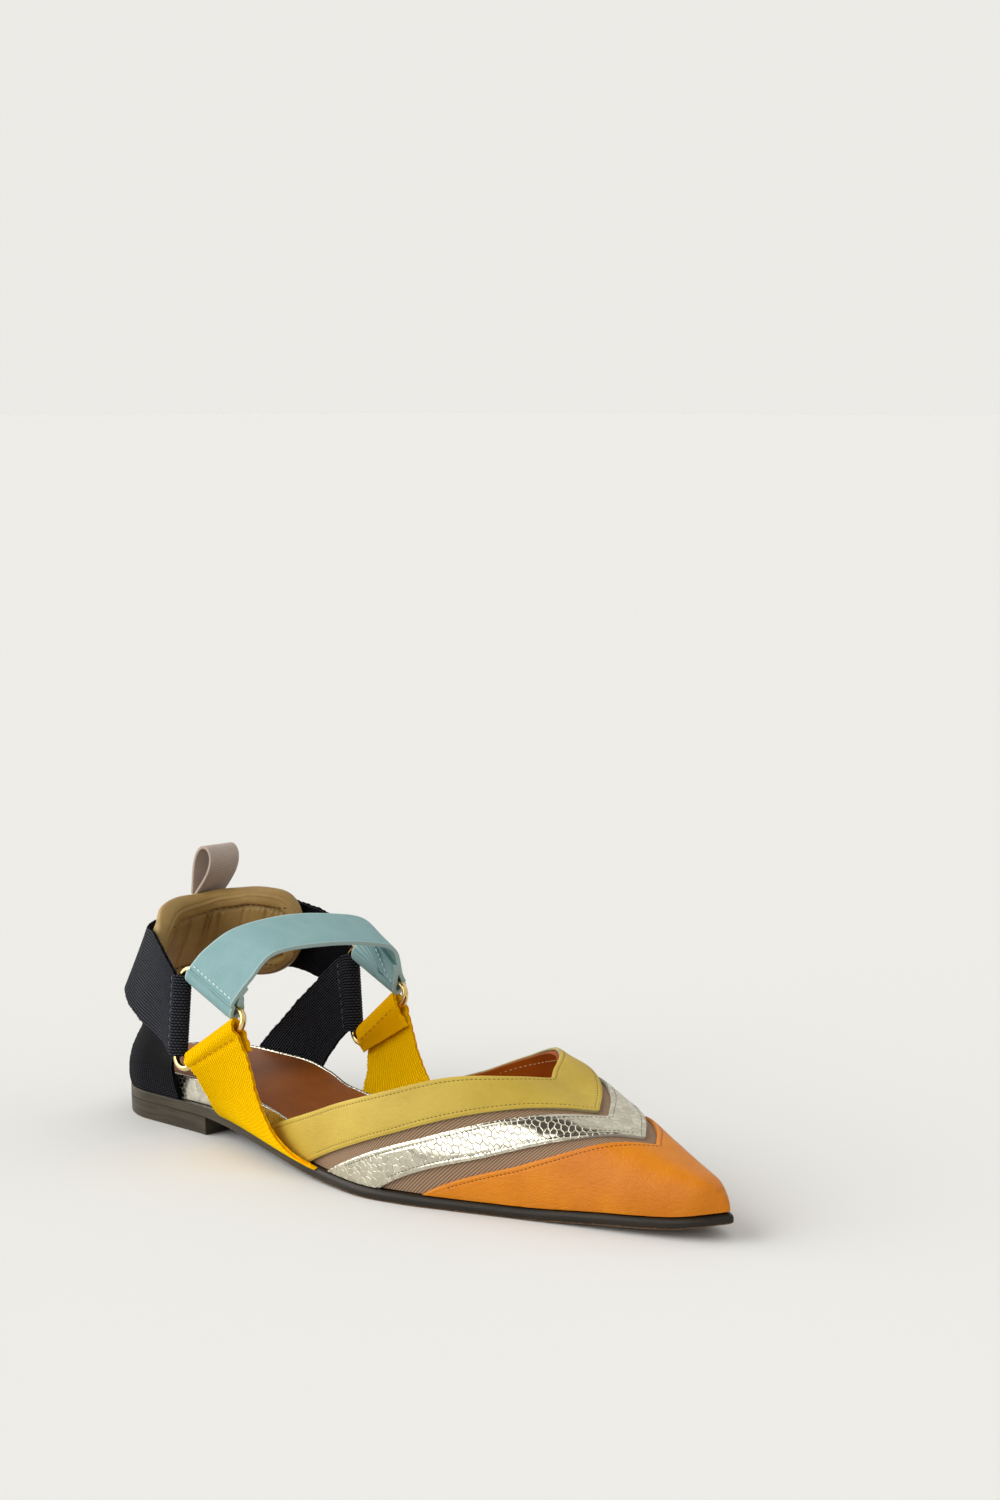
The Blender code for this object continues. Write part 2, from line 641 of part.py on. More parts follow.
# Finish of each piece: colour, roughness, metallic
SOLE_DARK = ((0.055, 0.048, 0.040), 0.45, 0.0)
SILVER = ((0.72, 0.71, 0.66), 0.22, 0.9)
NAVY = ((0.012, 0.014, 0.024), 0.75, 0.0)
YELLOW = ((0.86, 0.48, 0.008), 0.75, 0.0)
GOLD = ((0.83, 0.66, 0.38), 0.16, 1.0)
PIECES = (
    ("outsole", make_outsole, SOLE_DARK),
    ("heel", make_heel, SOLE_DARK),
    ("footbed", make_footbed, SILVER),
    ("sock_lining", make_sock, ((0.19, 0.07, 0.025), 0.5, 0.0)),
    ("vamp", make_vamp, ((0.26, 0.17, 0.125), 0.7, 0.0)),
    ("toe_panel", lambda: make_overlay("toe_panel"), ((0.72, 0.25, 0.025), 0.4, 0.0)),
    ("silver_band", lambda: make_overlay("silver_band"), SILVER),
    ("topline_band", lambda: make_overlay("topline_band"), ((0.62, 0.50, 0.11), 0.45, 0.0)),
    ("heel_strap", make_heel_strap, NAVY),
    ("forefoot_strap_lateral", lambda: make_forefoot_strap("ring_lateral"), YELLOW),
    ("forefoot_strap_medial", lambda: make_forefoot_strap("ring_medial"), YELLOW),
    ("instep_strap", make_instep_strap, ((0.28, 0.50, 0.58), 0.7, 0.0)),
    ("ring_lateral", lambda: make_ring(rings["ring_lateral"]), GOLD),
    ("ring_medial", lambda: make_ring(rings["ring_medial"]), GOLD),
    ("heel_pad", make_heel_pad, ((0.30, 0.20, 0.075), 0.5, 0.0)),
    ("pull_loop", make_pull_loop, ((0.40, 0.34, 0.33), 0.75, 0.0)),
)

shoe = bpy.data.objects.new("shoe", None)
bpy.context.scene.collection.objects.link(shoe)
pieces = [new_object(name, make(), finish, shoe) for name, make, finish in PIECES]

# The origin is under the middle of the shoe's box, on the floor
corners = np.array([v.co for piece in pieces for v in piece.data.vertices])
middle = (corners.min(axis=0) + corners.max(axis=0)) / 2
shoe.location = (-middle[0], -middle[1], -corners[:, 2].min())
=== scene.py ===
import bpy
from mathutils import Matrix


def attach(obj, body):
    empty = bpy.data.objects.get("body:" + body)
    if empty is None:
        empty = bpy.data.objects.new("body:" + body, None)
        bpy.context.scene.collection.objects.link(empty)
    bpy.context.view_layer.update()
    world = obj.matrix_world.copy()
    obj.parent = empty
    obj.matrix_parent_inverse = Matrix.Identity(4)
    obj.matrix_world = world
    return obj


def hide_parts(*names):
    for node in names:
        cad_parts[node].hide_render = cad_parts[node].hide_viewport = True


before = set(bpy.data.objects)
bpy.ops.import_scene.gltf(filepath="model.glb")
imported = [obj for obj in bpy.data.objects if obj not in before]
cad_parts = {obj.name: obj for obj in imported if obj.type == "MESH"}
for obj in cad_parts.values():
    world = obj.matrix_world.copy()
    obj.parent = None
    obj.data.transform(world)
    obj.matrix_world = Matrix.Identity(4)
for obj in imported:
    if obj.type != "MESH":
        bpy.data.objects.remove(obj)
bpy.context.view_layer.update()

import bpy
import numpy as np

# Slingback flat, right shoe. Sizes are in millimetres in the shoe's own frame: x from the back of the
# heel to the toe, y towards the inner (medial) side of the foot, z up from the floor.
MM = 0.001
SHOE_MIDDLE = np.array([132.5, -1.622, 0.0])   # the frame's origin, in the shoe's own frame
GAP = 0.3                     # clearance between pieces that touch

# Sole
LENGTH = 265.0
HEEL_ROUND = 25.0             # length of the outline's round ends
TOE_ROUND = 10.0
TOE_FULLNESS = 2.6            # of the upper's rounding down to the toe; 2 is a plain arc
HEEL_HEIGHT = 6.2
BREAST = 57.0
SOLE_THICK = 3.5
SOLE_SHOULDER = 1.8           # rounding of the upper edge along the forefoot
SOLE_WORN = 0.7               # rounding of its lower edge
EDGE_MIDDLE = 1.2             # height of the plain edge between the two
HEEL_TAPER = 0.2              # how much the heel is drawn in at the floor
HEEL_SEAM = 0.03              # between the heel and the sole
HEEL_EDGE = 0.5               # rounding of the heel's lower edge
EDGE_ROUND = 0.3              # rounding of the sole's cut edge at the heel and waist
SHOULDER_STRETCH = (95.0, 150.0)   # stations over which the round shoulder begins
TOE_WORN = (240.0, 262.0)     # stations over which the edge gets rounder towards the toe
SHOULDER_FULL = (0.8, 0.9)    # fullness of the rounding, and what the toe adds
BLACK_EDGE = (90.0, 150.0)    # stations over which the edge turns black
OUTLINE = {                   # sole's edge to both sides of y = 0
    "station": (0.0, 50.0, 72.0, 92.0, 120.0, 150.0, 165.0, 182.0, 200.0, 220.0, 240.0, 254.0, 265.0),
    "lateral": (24.2, 24.2, 27.2, 31.5, 37.0, 40.4, 37.6, 31.8, 24.9, 17.9, 11.2, 5.4, -0.8),
    "medial": (27.6, 27.0, 22.5, 17.6, 21.5, 33.0, 35.0, 32.2, 27.6, 22.6, 17.4, 13.0, 7.4),
}
UNDERSIDE = {
    "station": (0.0, 57.0, 80.0, 105.0, 130.0, 156.0, 200.0, 230.0, 248.0, 265.0),
    "height": (6.2, 6.2, 5.3, 3.2, 0.9, 0.0, 0.0, 1.6, 2.6, 5.4),
}
FOOTBED = {
    "station": (0.0, 45.0, 72.0, 90.0, 150.0, 265.0),
    "thick": (6.6, 6.6, 6.6, 6.4, 3.2, 2.6),
    "inset": (2.0, 2.0, 3.2, 4.8, 5.4, 5.4),
}
FOOTBED_BACK = 2.0            # stations of its two ends
FOOTBED_TIP = 250.0
LIP_HALF = 0.65               # half width of the rolled lip round the sock
LIP_RISE = 1.6                # over the footbed
LIP_FOOT = 0.1                # height of its inner foot
LIP_END = (120.0, 160.0)      # stations over which it runs out
LIP_STITCHES_END = 118.0
LIP_STITCHES = (0.91, 0.1)    # in from the lip's outer edge, and below its top
SOCK_THICK = 1.0
SOCK_INSET = 1.3
SPINES = {                    # first and last station of the line that a slab's faces run in to
    "outsole": (18.0, 258.0),
    "heel": (18.0, 40.0),
    "footbed": (18.0, 240.0),
    "sock": (18.0, 238.0),
}
CLOSING_ROWS = 6              # rows from a slab's edge in to its spine
SPREAD = 30.0                 # flat place of a slab's bottom and top, beyond its edge

# Upper
VAMP_INSET = 1.2              # in from the sole's edge
OVERLAY = 1.0                 # thickness of the leather panels on the vamp
WALL = 1.4                    # thickness of the vamp
WALL_Y = 0.74                 # fullness of the outer side, sideways and upwards; 1 is an ellipse
WALL_Z = 0.95
CREST = {                     # the upper's ridge: height, and offset to the inner side
    "station": (60.0, 90.0, 150.0, 193.0, 215.0, 225.0, 235.0, 245.0, 255.0, 265.0),
    "height": (74.0, 68.0, 57.5, 38.3, 30.5, 28.2, 25.0, 21.4, 18.1, 15.3),
    "offset": (0.6, 0.6, 0.6, 1.8, 2.4, 2.7, 3.0, 3.3, 3.5, 3.8),
}
MEDIAL = {                    # inner side of the upper: swell beside the ridge, fullness sideways and upwards
    "station": (140.0, 170.0, 182.0, 193.0, 215.0, 235.0, 255.0, 265.0),
    "swell": (0.0, 0.7, 2.4, 4.7, 3.8, 1.0, 0.0, 0.0),
    "sideways": (0.74, 0.63, 0.62, 0.61, 0.61, 0.61, 0.61, 0.61),
    "upwards": (0.95, 0.815, 0.80, 0.79, 0.79, 0.79, 0.79, 0.79),
}
TOPLINE = {                   # stations of the throat's edge, from the ridge (0) to the sole (1)
    "share": (0.0, 0.2, 0.4, 0.6, 0.8, 1.0),
    "lateral": (193.0, 185.6, 174.0, 158.0, 127.5, 90.4),
    "medial": (193.0, 185.6, 175.5, 160.6, 129.0, 90.4),
}
CHEVRON = {                   # how a band's edge falls back from the ridge (0) to the sole (1)
    "share": (0.0, 0.25, 0.5, 0.75, 1.0),
    "fall": (0.0, 0.115, 0.28, 0.53, 1.0),
}
BAND_EDGES = {                # station on the ridge, and how far back the edge meets the sole
    "band_lower": (212.7, 90.4),
    "silver_upper": (216.3, 83.7),
    "silver_lower": (231.4, 74.2),
    "toe_upper": (235.7, 63.6),
}
UPPER_COLUMNS = 220
LONG_ROWS = 110               # rows of the vamp and the toe
SILVER_ROWS, YELLOW_ROWS = 40, 60   # rows of the two bands
SECTION_STATIONS = 80
COLUMN_CROWDING = 1.5         # of the columns towards the ridge; 1 is even
UPPER_CORE = 5.0              # height inside the upper that its outer face looks away from
SLANT_LEAST = 0.15            # least share taken of a distance that runs at a slant to an edge
TOPLINE_FALL = 2.0            # how far a line falls back on the inner side of its point
BAND_FALL = 1.1
POINT_SHARE = 0.015           # share of the section over which a line falls
LINING_SEAM = 4.0             # stitches inside the vamp, in from the throat
STITCH_LINE = 1.5             # stitches, in from a panel's edge
STITCH_CHANNEL = (0.45, 0.09)   # half width and depth
EDGE_ROLL = (0.5, 0.25)       # width and depth of a panel's rounding towards its edge
BAND_CROWN = 0.12             # lift of a band between its rolled edges
LASTING_CREASES = (           # station, lean, reach upwards, depth
    (196.0, 0.25, 14.0, 0.10),
    (203.5, 0.10, 9.0, 0.16),
    (211.0, 0.35, 12.0, 0.10),
    (215.5, 0.15, 8.0, 0.18),
    (221.0, 0.20, 9.0, 0.14),
    (228.5, 0.30, 9.0, 0.09),
    (238.0, 0.35, 7.0, 0.08),
)
CREASE_WIDTH = 1.1
CREASE_FOOT = 4.0             # height at which a crease is deepest
CREASE_PLACE = 6.0            # height at which it lies at its station
CREASE_FADE = 1.5             # of a crease upwards; 1 is even
INNER_RELIEF = 0.8            # depth on the inner side, against the outer one
TOE_DENTS = (                 # station, height, length, height spread, depth
    (222.0, 15.0, 9.0, 5.0, 0.22),
    (204.0, 18.0, 7.0, 6.0, -0.12),
    (240.0, 12.0, 8.0, 4.0, -0.15),
    (261.0, 14.5, 0.8, 0.8, 0.3),
)
STITCH_FLATNESS = 0.8         # height of a stitch over its width
STITCH_REACH = 0.4            # before and behind a stitch, where its direction is read

# Rings and straps
WIRE = 2.2
WIRE_SIDES = 18
RING_SIDE = 38.6
RING_CORNER = 4.0
RING_STEPS = (17, 24)         # points round a corner and along a bar
RINGS = {                     # angles in degrees; the outer side is -1 and the inner side 1
    "ring_lateral": {"centre": (70.5, -36.4, 44.1), "tilt": 6.6, "lean": 12.0, "turn": 5.0, "side": -1},
    "ring_medial": {"centre": (80.1, 31.0, 43.6), "tilt": 9.8, "lean": -4.0, "turn": -4.3, "side": 1},
}
WEBBING = 1.4                 # thickness of the straps
NAVY_WIDTH, YELLOW_WIDTH, BLUE_WIDTH = 27.0, 27.6, 25.0
YELLOW_FOLDS = {"ring_lateral": (23.8, -1.0, 1.6), "ring_medial": (25.0, 0.5, 3.0)}   # width, shift, slack
NAVY_FOLD = (27.0, 1.0, 1.2)
BLUE_FOLD = (25.0, 0.5, 1.7)
FOLD_SLACK = 0.1
FOLD_ROWS = 13                # rows round a bar
FOOT_ROWS = 40                # rows from the sole to the rear bar
ARM_ROWS = 12                 # rows between two of HEEL_ARM
STRAP_INSET = 0.6             # of the navy feet, in from the sole's edge
NAVY_FEET = {                 # stations of the ends on the sole, and control point from there
    "ring_lateral": {"ends": (8.5, 42.6), "rise": (-4.5, -2.5, 15.0)},
    "ring_medial": {"ends": (20.0, 58.0), "rise": (0.0, 0.0, 4.0)},
}
NAVY_BEHIND = 3.0             # control point behind the rear bar
HEEL_ARM = {                  # upper arm round the heel: upper edge x y z, lower edge x y z
    "lateral side": (46.0, -32.6, 64.0, 49.0, -36.2, 34.0),
    "lateral bend": (33.0, -25.6, 69.6, 31.0, -31.2, 37.5),
    "lateral quarter": (22.0, -17.6, 70.8, 15.0, -24.0, 41.5),
    "lateral back": (15.6, -9.0, 70.9, 6.2, -15.5, 44.5),
    "back": (13.5, 2.0, 71.2, 2.0, 0.0, 46.5),
    "medial back": (16.0, 13.0, 72.2, 5.2, 14.5, 47.5),
    "medial quarter": (25.0, 21.6, 73.0, 15.0, 24.6, 48.0),
    "medial bend": (36.0, 25.8, 73.2, 28.0, 29.2, 48.0),
    "medial side": (48.0, 30.4, 71.6, 45.0, 33.0, 46.5),
    "medial ring": (59.5, 34.8, 66.2, 59.5, 36.6, 40.0),
}
UPPER_DROP = (0.5, 2.5, 5.0, 5.0, 3.0, 1.0, 0.0, 0.0, 0.0, 0.0)   # of the arm's upper edge, under the pad
YELLOW_FEET = {"ring_lateral": (67.0, 128.0), "ring_medial": (87.0, 132.0)}   # stations on the sole
YELLOW_INSET = -0.1           # of the yellow feet, which stand out from the sole's edge a little
YELLOW_BEND = {               # control points between ring and foot: rear edge x y z, front edge x y z
    "ring_lateral": ((74.0, -39.5, 25.0, 99.0, -35.0, 31.0), (73.0, -35.0, 14.5, 96.5, -39.5, 9.0)),
    "ring_medial": ((78.5, 31.5, 20.0, 103.0, 30.0, 32.5), (85.5, 25.0, 15.5, 110.0, 26.0, 16.5)),
}
FOREFOOT_ROWS = 80            # rows from the lower bar to the sole
YELLOW_RETURN = 6.2           # length of an end sewn back behind its strap
BLUE_RETURN = 9.0
BLUE_CLOSING = (0.8, 5.5)     # where a sewn end leaves the fold and where it lies on the strap
YELLOW_CLOSING = (0.8, 7.6)
INSTEP_ARCH = {               # blue strap over the instep: rear edge x y z, front edge x y z
    "lateral ring": (64.5, -36.0, 61.0, 87.0, -37.0, 52.0),
    "lateral side": (65.5, -30.5, 66.0, 89.0, -31.5, 59.0),
    "lateral shoulder": (67.0, -19.0, 71.5, 89.0, -20.5, 66.5),
    "crown": (71.0, -1.0, 74.0, 93.0, -1.0, 67.5),
    "medial shoulder": (75.5, 16.0, 73.0, 95.5, 16.5, 65.5),
    "medial side": (76.5, 30.5, 69.5, 96.5, 26.5, 62.0),
    "medial ring": (78.0, 37.0, 61.5, 96.5, 29.5, 53.5),
}
INSTEP_ROWS = 20              # rows between two of INSTEP_ARCH
BLUE_COLUMNS = 24
SEWN = 6.8                    # sewn line, from the fold round a bar
SEWN_TROUGH = (0.9, 0.45)     # half width and depth
SWELL_PLACE = 4.2             # swelling between the fold and the sewn line
SEWN_SWELL = (1.6, 0.35)      # half width and height
BLUE_SEWN = 7.8
YELLOW_NEARER = (0.6, 1.0)    # how much nearer the fold the yellow straps are sewn, outside and inside
SEAM_LIFT = 0.12              # of stitches across a ribbon
BLUE_SELVEDGE = (0.955, 0.035)   # place and half width, as shares of half the strap's width
BLUE_LIFT, SELVEDGE_LIFT, LOOP_LIFT = 0.06, 0.2, 0.07   # height of the ribs and selvedges
NAVY_FRAY, YELLOW_FRAY = 0.16, 0.22   # wavering of the selvedges
SELVEDGE_WAVES = ((2.4, 1.0), (5.3, 0.6), (13.0, 0.8))   # length and share
RIDGES = 28                   # lengthwise ridges of the webbing
RIDGE_COLUMNS = 3
RIDGE_HEIGHT = 0.22
FULLNESS = 0.8                # of the webbing's ridges and the pad's rim; 1 is a plain sine
KNOT = 1.0                    # length of a knot along a ridge
ROW_STEP = 0.9                # rows along the webbing
BLUE_RIB = 0.55               # length from rib to rib
LOOP_RIB = 0.6
RIB_ROWS = 2                  # rows for each crosswise rib

# Heel pad and pull loop
PAD_HEIGHT = 35.0
PAD_LIFT = 1.5
PAD_THICK = 7.5
PAD_STATIONS = (1.6, 8.3)     # its ends, as row numbers of HEEL_ARM
PAD_ROWS = 20                 # rows between two of HEEL_ARM
PAD_AHEAD = 0.1               # part of such a step over which the strap's direction is read
PAD_LONG, PAD_AROUND = 260, 200
PAD_SQUARE = 0.6              # roundness of the pad's section; 1 is an ellipse
PAD_END = 7.0                 # squareness of its ends; 2 is an ellipse
PAD_RIM = 0.7                 # fullness of the rim outside the channel
PAD_SEAM = 6.4                # sewn channel, in from the pad's edge
PAD_CHANNEL = (0.85, 1.4)     # half width and depth
PAD_PANEL = (2.0, 0.5)        # width and depth of the step from the channel to the panel inside it
PAD_FRONT = (0.0, 0.5)        # where the relief begins and is full, from the pad's middle to its face
PAD_PUCKER = 2.3              # length of a pucker along the channel
PUCKER_PLACE = 0.9            # in from the channel
PUCKER_SIZE = (0.9, 0.22)     # half width and depth
PAD_PIPING = 1.7              # seam between the pad's two skins, in from its edge
PIPING_BEAD = (0.4, 0.3)      # half width and height
PIPING_GROOVE = (0.5, 0.35, 0.35)   # how far outside the bead, half width and depth
PAD_SLANT = 6.0               # how far back the lower corner of its inner end lies
PAD_INNER = (0.3, 1.0)        # where the inner end's slant begins and ends, from -1 to 1 along the pad
PAD_LEAN = 0.6                # how far inward that corner leans
PAD_ROLL = 1.4                # how far the outer end rolls out over the strap's upper edge
PAD_OVER = (0.6, 7.0)         # where the roll begins and ends, above that edge
PAD_OUTER = (-0.45, -0.1)     # where the roll runs out, from -1 to 1 along the pad
PAD_WRINKLES = (              # place along the pad from 0 to 1, lean, width in mm, depth
    (0.20, 0.10, 1.2, 0.5),
    (0.33, -0.05, 0.8, 1.0),
    (0.45, 0.04, 0.7, 1.15),
    (0.48, 0.02, 0.7, 0.6),
    (0.54, -0.03, 0.8, 0.95),
    (0.68, 0.05, 1.1, 0.5),
    (0.82, -0.08, 1.1, 0.5),
)
WRINKLE_SWELL = (2.0, 0.5)    # ridge beside a wrinkle: how many widths away, and share of the depth
WRINKLE_FADE = (0.6, 25.0)    # share of the depth at mid height, and the rise that adds a whole
LOOP_STATION = 4.88           # its middle, as a row number of HEEL_ARM
LOOP_TURN = np.radians(1)
LOOP_WIDTH = 12.8
LOOP_RIBBON = 1.0
LOOP_RISE = 19.0
LOOP_BULGE = 5.2
LOOP_NARROWING = 1.5          # of the bulge towards the loop's ends
LOOP_BEHIND = 0.9             # its foot, outward from the strap's middle
LOOP_CLEAR = 1.6              # its foot, above the strap's upper edge
LOOP_ROWS = 97
LOOP_COLUMNS = 12

# Stage, light and camera
FLOOR_SIZE = 60.0             # in metres
PAPER = (0.79, 0.787, 0.772, 1.0)
PAPER_BOUNCE = (0.56, 0.555, 0.54, 1.0)   # as it lights the shoe
SURROUND = (236, 235, 231)
SKY_RISE = (0.05, 0.45)       # upward part of a direction over which the surround brightens
SKY_LEVEL = (0.56, 0.78)
CEILING = (-0.10, -0.38, 0.92)   # direction of its dark part
CEILING_EDGE = (0.86, 0.96)   # cosine of the angle to it at which the dark begins and is full
CEILING_SHADE = 0.85
SOFTBOX = (-0.71, -0.70, 0.0)   # level direction towards it, and along its width
SOFTBOX_SIDE = (0.70, -0.71, 0.0)
SOFTBOX_FOOT = (0.03, 0.12)   # its soft edges, as slopes from that direction
SOFTBOX_TOP = (1.38, 1.55)
SOFTBOX_ENDS = (1.08, 1.25)
SOFTBOX_LEVEL = 2.5
LIGHT_TINT = (1.0, 0.99, 0.965)
LENS = 70.0
CAMERA_PLACE = (803.95, -644.29, 248.91)
CAMERA_DOWN = 6.927           # in degrees
CAMERA_TURN = 44.42


# Curves and forms

def smooth(stations, values):
    """Monotone cubic curve through a table's column."""
    x = np.asarray(stations, float)
    y = np.asarray(values, float)
    gap = np.diff(x)
    slope = np.diff(y) / gap
    tangent = np.concatenate([slope[:1], np.zeros(len(x) - 2), slope[-1:]])
    for i in range(1, len(x) - 1):
        if slope[i - 1] * slope[i] > 0:
            before = 2 * gap[i] + gap[i - 1]
            after = gap[i] + 2 * gap[i - 1]
            tangent[i] = (before + after) / (before / slope[i - 1] + after / slope[i])

    def value(at):
        at = np.clip(np.asarray(at, float), x[0], x[-1])
        i = np.clip(np.searchsorted(x, at) - 1, 0, len(gap) - 1)
        t = (at - x[i]) / gap[i]
        rise = (1 + 2 * t) * (1 - t) ** 2 * y[i] + t ** 2 * (3 - 2 * t) * y[i + 1]
        bend = t * (1 - t) ** 2 * tangent[i] - t ** 2 * (1 - t) * tangent[i + 1]
        return rise + bend * gap[i]

    return value


def through(rows, per_row):
    """Smooth rows through the given ones, per_row steps between two of them."""
    points = np.asarray(rows, float)
    ends = np.concatenate([2 * points[:1] - points[1:2], points, 2 * points[-1:] - points[-2:-1]])
    out = []
    for i in range(len(points) - 1):
        a, b, c, d = ends[i:i + 4]
        for t in np.arange(per_row) / per_row:
            out.append(0.5 * (2 * b + (c - a) * t + (2 * a - 5 * b + 4 * c - d) * t ** 2
                              + (3 * b - a - 3 * c + d) * t ** 3))
    out.append(points[-1])
    return out


def step(x, low, high):
    """Smooth step from 0 to 1 between two limits."""
    t = np.clip((x - low) / (high - low), 0, 1)
    return t * t * (3 - 2 * t)


def unit(vectors):
    return vectors / np.linalg.norm(vectors, axis=-1, keepdims=True)


def run_of(points):
    """Distance along rows of points, from the first row."""
    steps = np.linalg.norm(np.diff(points, axis=0), axis=-1)
    return np.concatenate([np.zeros_like(steps[:1]), np.cumsum(steps, axis=0)])


def curves(table):
    """Smooth curve of each of a table's columns over its first one."""
    stations, *columns = table.values()
    return [smooth(stations, values) for values in columns]


lateral_edge, medial_edge = curves(OUTLINE)
(underside,) = curves(UNDERSIDE)
footbed_thick, footbed_inset = curves(FOOTBED)
crest_height, crest_offset = curves(CREST)
medial_swell, medial_sideways, medial_upwards = curves(MEDIAL)
lateral_topline, medial_topline = curves(TOPLINE)
(chevron_fall,) = curves(CHEVRON)


def toe_rounding(x, tip, fullness=2.0):
    past = np.clip((x - tip + TOE_ROUND) / TOE_ROUND, 0, 1)
    return np.sqrt(1 - past ** fullness)


def heel_rounding(x, back):
    before = np.clip((back + HEEL_ROUND - x) / HEEL_ROUND, 0, 1)
    return np.sqrt(1 - before ** 2)


def outline(x, inset, back, tip):
    """Lateral and medial y of the sole's edge at station x, drawn in by inset, ending at back and tip."""
    low, high = -lateral_edge(x) + inset, medial_edge(x) - inset
    ends = heel_rounding(x, back) * toe_rounding(x, tip)
    middle, half = (low + high) / 2, (high - low) / 2 * ends
    return middle - half, middle + half


def outsole_top(x):
    return underside(x) + SOLE_THICK


def footbed_top(x):
    return outsole_top(x) + GAP + footbed_thick(x)


def vamp_point(x, share, depth):
    """Points of the upper at stations x; share runs -1 lateral sole, 0 ridge, 1 medial sole."""
    inset = VAMP_INSET + depth
    tip = LENGTH - inset
    low, high = outline(x, inset, inset, tip)
    foot = outsole_top(x) + GAP
    closing = toe_rounding(x, tip)
    rise = (crest_height(x) - depth - foot) * toe_rounding(x, tip, TOE_FULLNESS)
    centre = (low + high) / 2
    ridge = centre + (crest_offset(x) - centre) * closing
    turn = abs(share) * np.pi / 2
    inner = share > 0
    edge = np.where(inner, high, low)
    y = ridge + (edge - ridge) * np.sin(turn) ** np.where(inner, medial_sideways(x), WALL_Y)
    z = foot + rise * np.maximum(np.cos(turn), 0.0) ** np.where(inner, medial_upwards(x), WALL_Z)
    return np.stack([x, y, z + np.where(inner, medial_swell(x) * closing * np.sin(2 * turn), 0.0)], axis=-1)


def upper_line(name, share):
    """Stations of one of the upper's lines over the share of its section."""
    away = abs(share)
    fall = (1 - np.exp(-np.maximum(share, 0) / POINT_SHARE)) * (1 - away)
    if name == "topline":
        return np.where(share > 0, medial_topline(away), lateral_topline(away)) - TOPLINE_FALL * fall
    point, reach = BAND_EDGES[name]
    return point - reach * chevron_fall(away) - BAND_FALL * fall


class Ring:
    """Triangular wire ring: a rear bar, an upper front bar and a lower front bar."""

    def __init__(self, centre, tilt, lean, turn, side):
        self.centre = np.array(centre)
        self.side = side
        tilt, lean, turn = np.radians((tilt, lean, turn))
        ahead = np.array([np.cos(turn), np.sin(turn), 0.0])
        aside = np.array([-np.sin(turn), np.cos(turn), 0.0])
        up = np.cos(lean) * np.array([0.0, 0.0, 1.0]) - side * np.sin(lean) * aside
        self.ahead = np.cos(tilt) * ahead + np.sin(tilt) * up
        self.up = np.cos(tilt) * up - np.sin(tilt) * ahead
        self.outward = side * (np.cos(lean) * aside + side * np.sin(lean) * np.array([0.0, 0.0, 1.0]))

    def direction(self, degrees):
        return np.cos(np.radians(degrees)) * self.ahead + np.sin(np.radians(degrees)) * self.up

    def bar(self, name):
        """Middle of a bar, direction towards its upper or rear end, and direction into the ring."""
        facing = {"rear": 180, "upper": 60, "lower": -60}[name]
        along = {"rear": 90, "upper": 150, "lower": 210}[name]
        reach = RING_SIDE / (2 * np.sqrt(3))
        return self.centre + reach * self.direction(facing), self.direction(along), -self.direction(facing)

    def wire(self, corner_steps, bar_steps):
        """Points along the wire's centre, with round corners."""
        corner_reach = RING_SIDE / np.sqrt(3) - 2 * RING_CORNER
        corners = []
        for corner in (0, 120, 240):
            middle = self.centre + corner_reach * self.direction(corner)
            corners.append([middle + RING_CORNER * self.direction(corner + turn)
                            for turn in np.linspace(-60, 60, corner_steps)])
        points = []
        for here, ahead in zip(corners, corners[1:] + corners[:1]):
            points += here
            points += [here[-1] + (ahead[0] - here[-1]) * t for t in np.linspace(0, 1, bar_steps + 2)[1:-1]]
        return np.array(points)


rings = {name: Ring(**place) for name, place in RINGS.items()}


def across(first, second, count):
    """Points across a ribbon, from its first edge to its second."""
    share = np.linspace(0, 1, count + 1)[:, None]
    return np.asarray(first) * (1 - share) + np.asarray(second) * share


def fold_radius(thick):
    return WIRE / 2 + GAP + thick / 2 + FOLD_SLACK


def fold(ring, bar, size, count):
    """Ribbon rows round a bar through the ring, from the foot's side to the outside."""
    width, shift, slack = size
    middle, along, inward = ring.bar(bar)
    middle = middle + along * shift
    rows = []
    for turn in np.linspace(-np.pi / 2, np.pi / 2, FOLD_ROWS):
        at = middle + fold_radius(WEBBING) * (np.cos(turn) * inward + np.sin(turn) * ring.outward)
        at = at + slack * np.cos(turn) * inward
        rows.append(across(at + along * width / 2, at - along * width / 2, count))
    return rows


def normals(grid):
    out = np.cross(np.gradient(grid, axis=0), np.gradient(grid, axis=1))
    return out / np.maximum(np.linalg.norm(out, axis=2), 1e-9)[:, :, None]


def run_along(grid):
    """Distance along a ribbon's middle, from its first row."""
    return run_of(grid[:, grid.shape[1] // 2])


def return_end(ring, strap, length, stretch):
    """Short end sewn back behind a strap's first rows, from its cut to the fold."""
    grid = np.asarray(strap)
    run = run_along(grid)
    behind = normals(grid)
    behind *= -np.sign(behind[0].mean(axis=0) @ ring.outward)
    close = WEBBING + FOLD_SLACK
    away = np.interp(run, stretch, (2 * fold_radius(WEBBING), close))
    rows = grid + behind * away[:, None, None]
    return [rows[i] for i in range(len(rows)) if stretch[0] <= run[i] <= length][::-1]


def sole_stretch(ring, ends, inset, count):
    """Points along the top of the outsole where a strap is tucked in, rear end first."""
    x = np.linspace(*ends, count + 1)
    low, high = outline(x, inset, inset, LENGTH - inset)
    return np.stack([x, low if ring.side < 0 else high, outsole_top(x) + GAP], axis=1)


def bezier(points, steps):
    a, b, c, d = points
    return [(1 - t) ** 3 * a + 3 * t * (1 - t) ** 2 * b + 3 * t ** 2 * (1 - t) * c + t ** 3 * d
            for t in np.linspace(0, 1, steps + 1)]


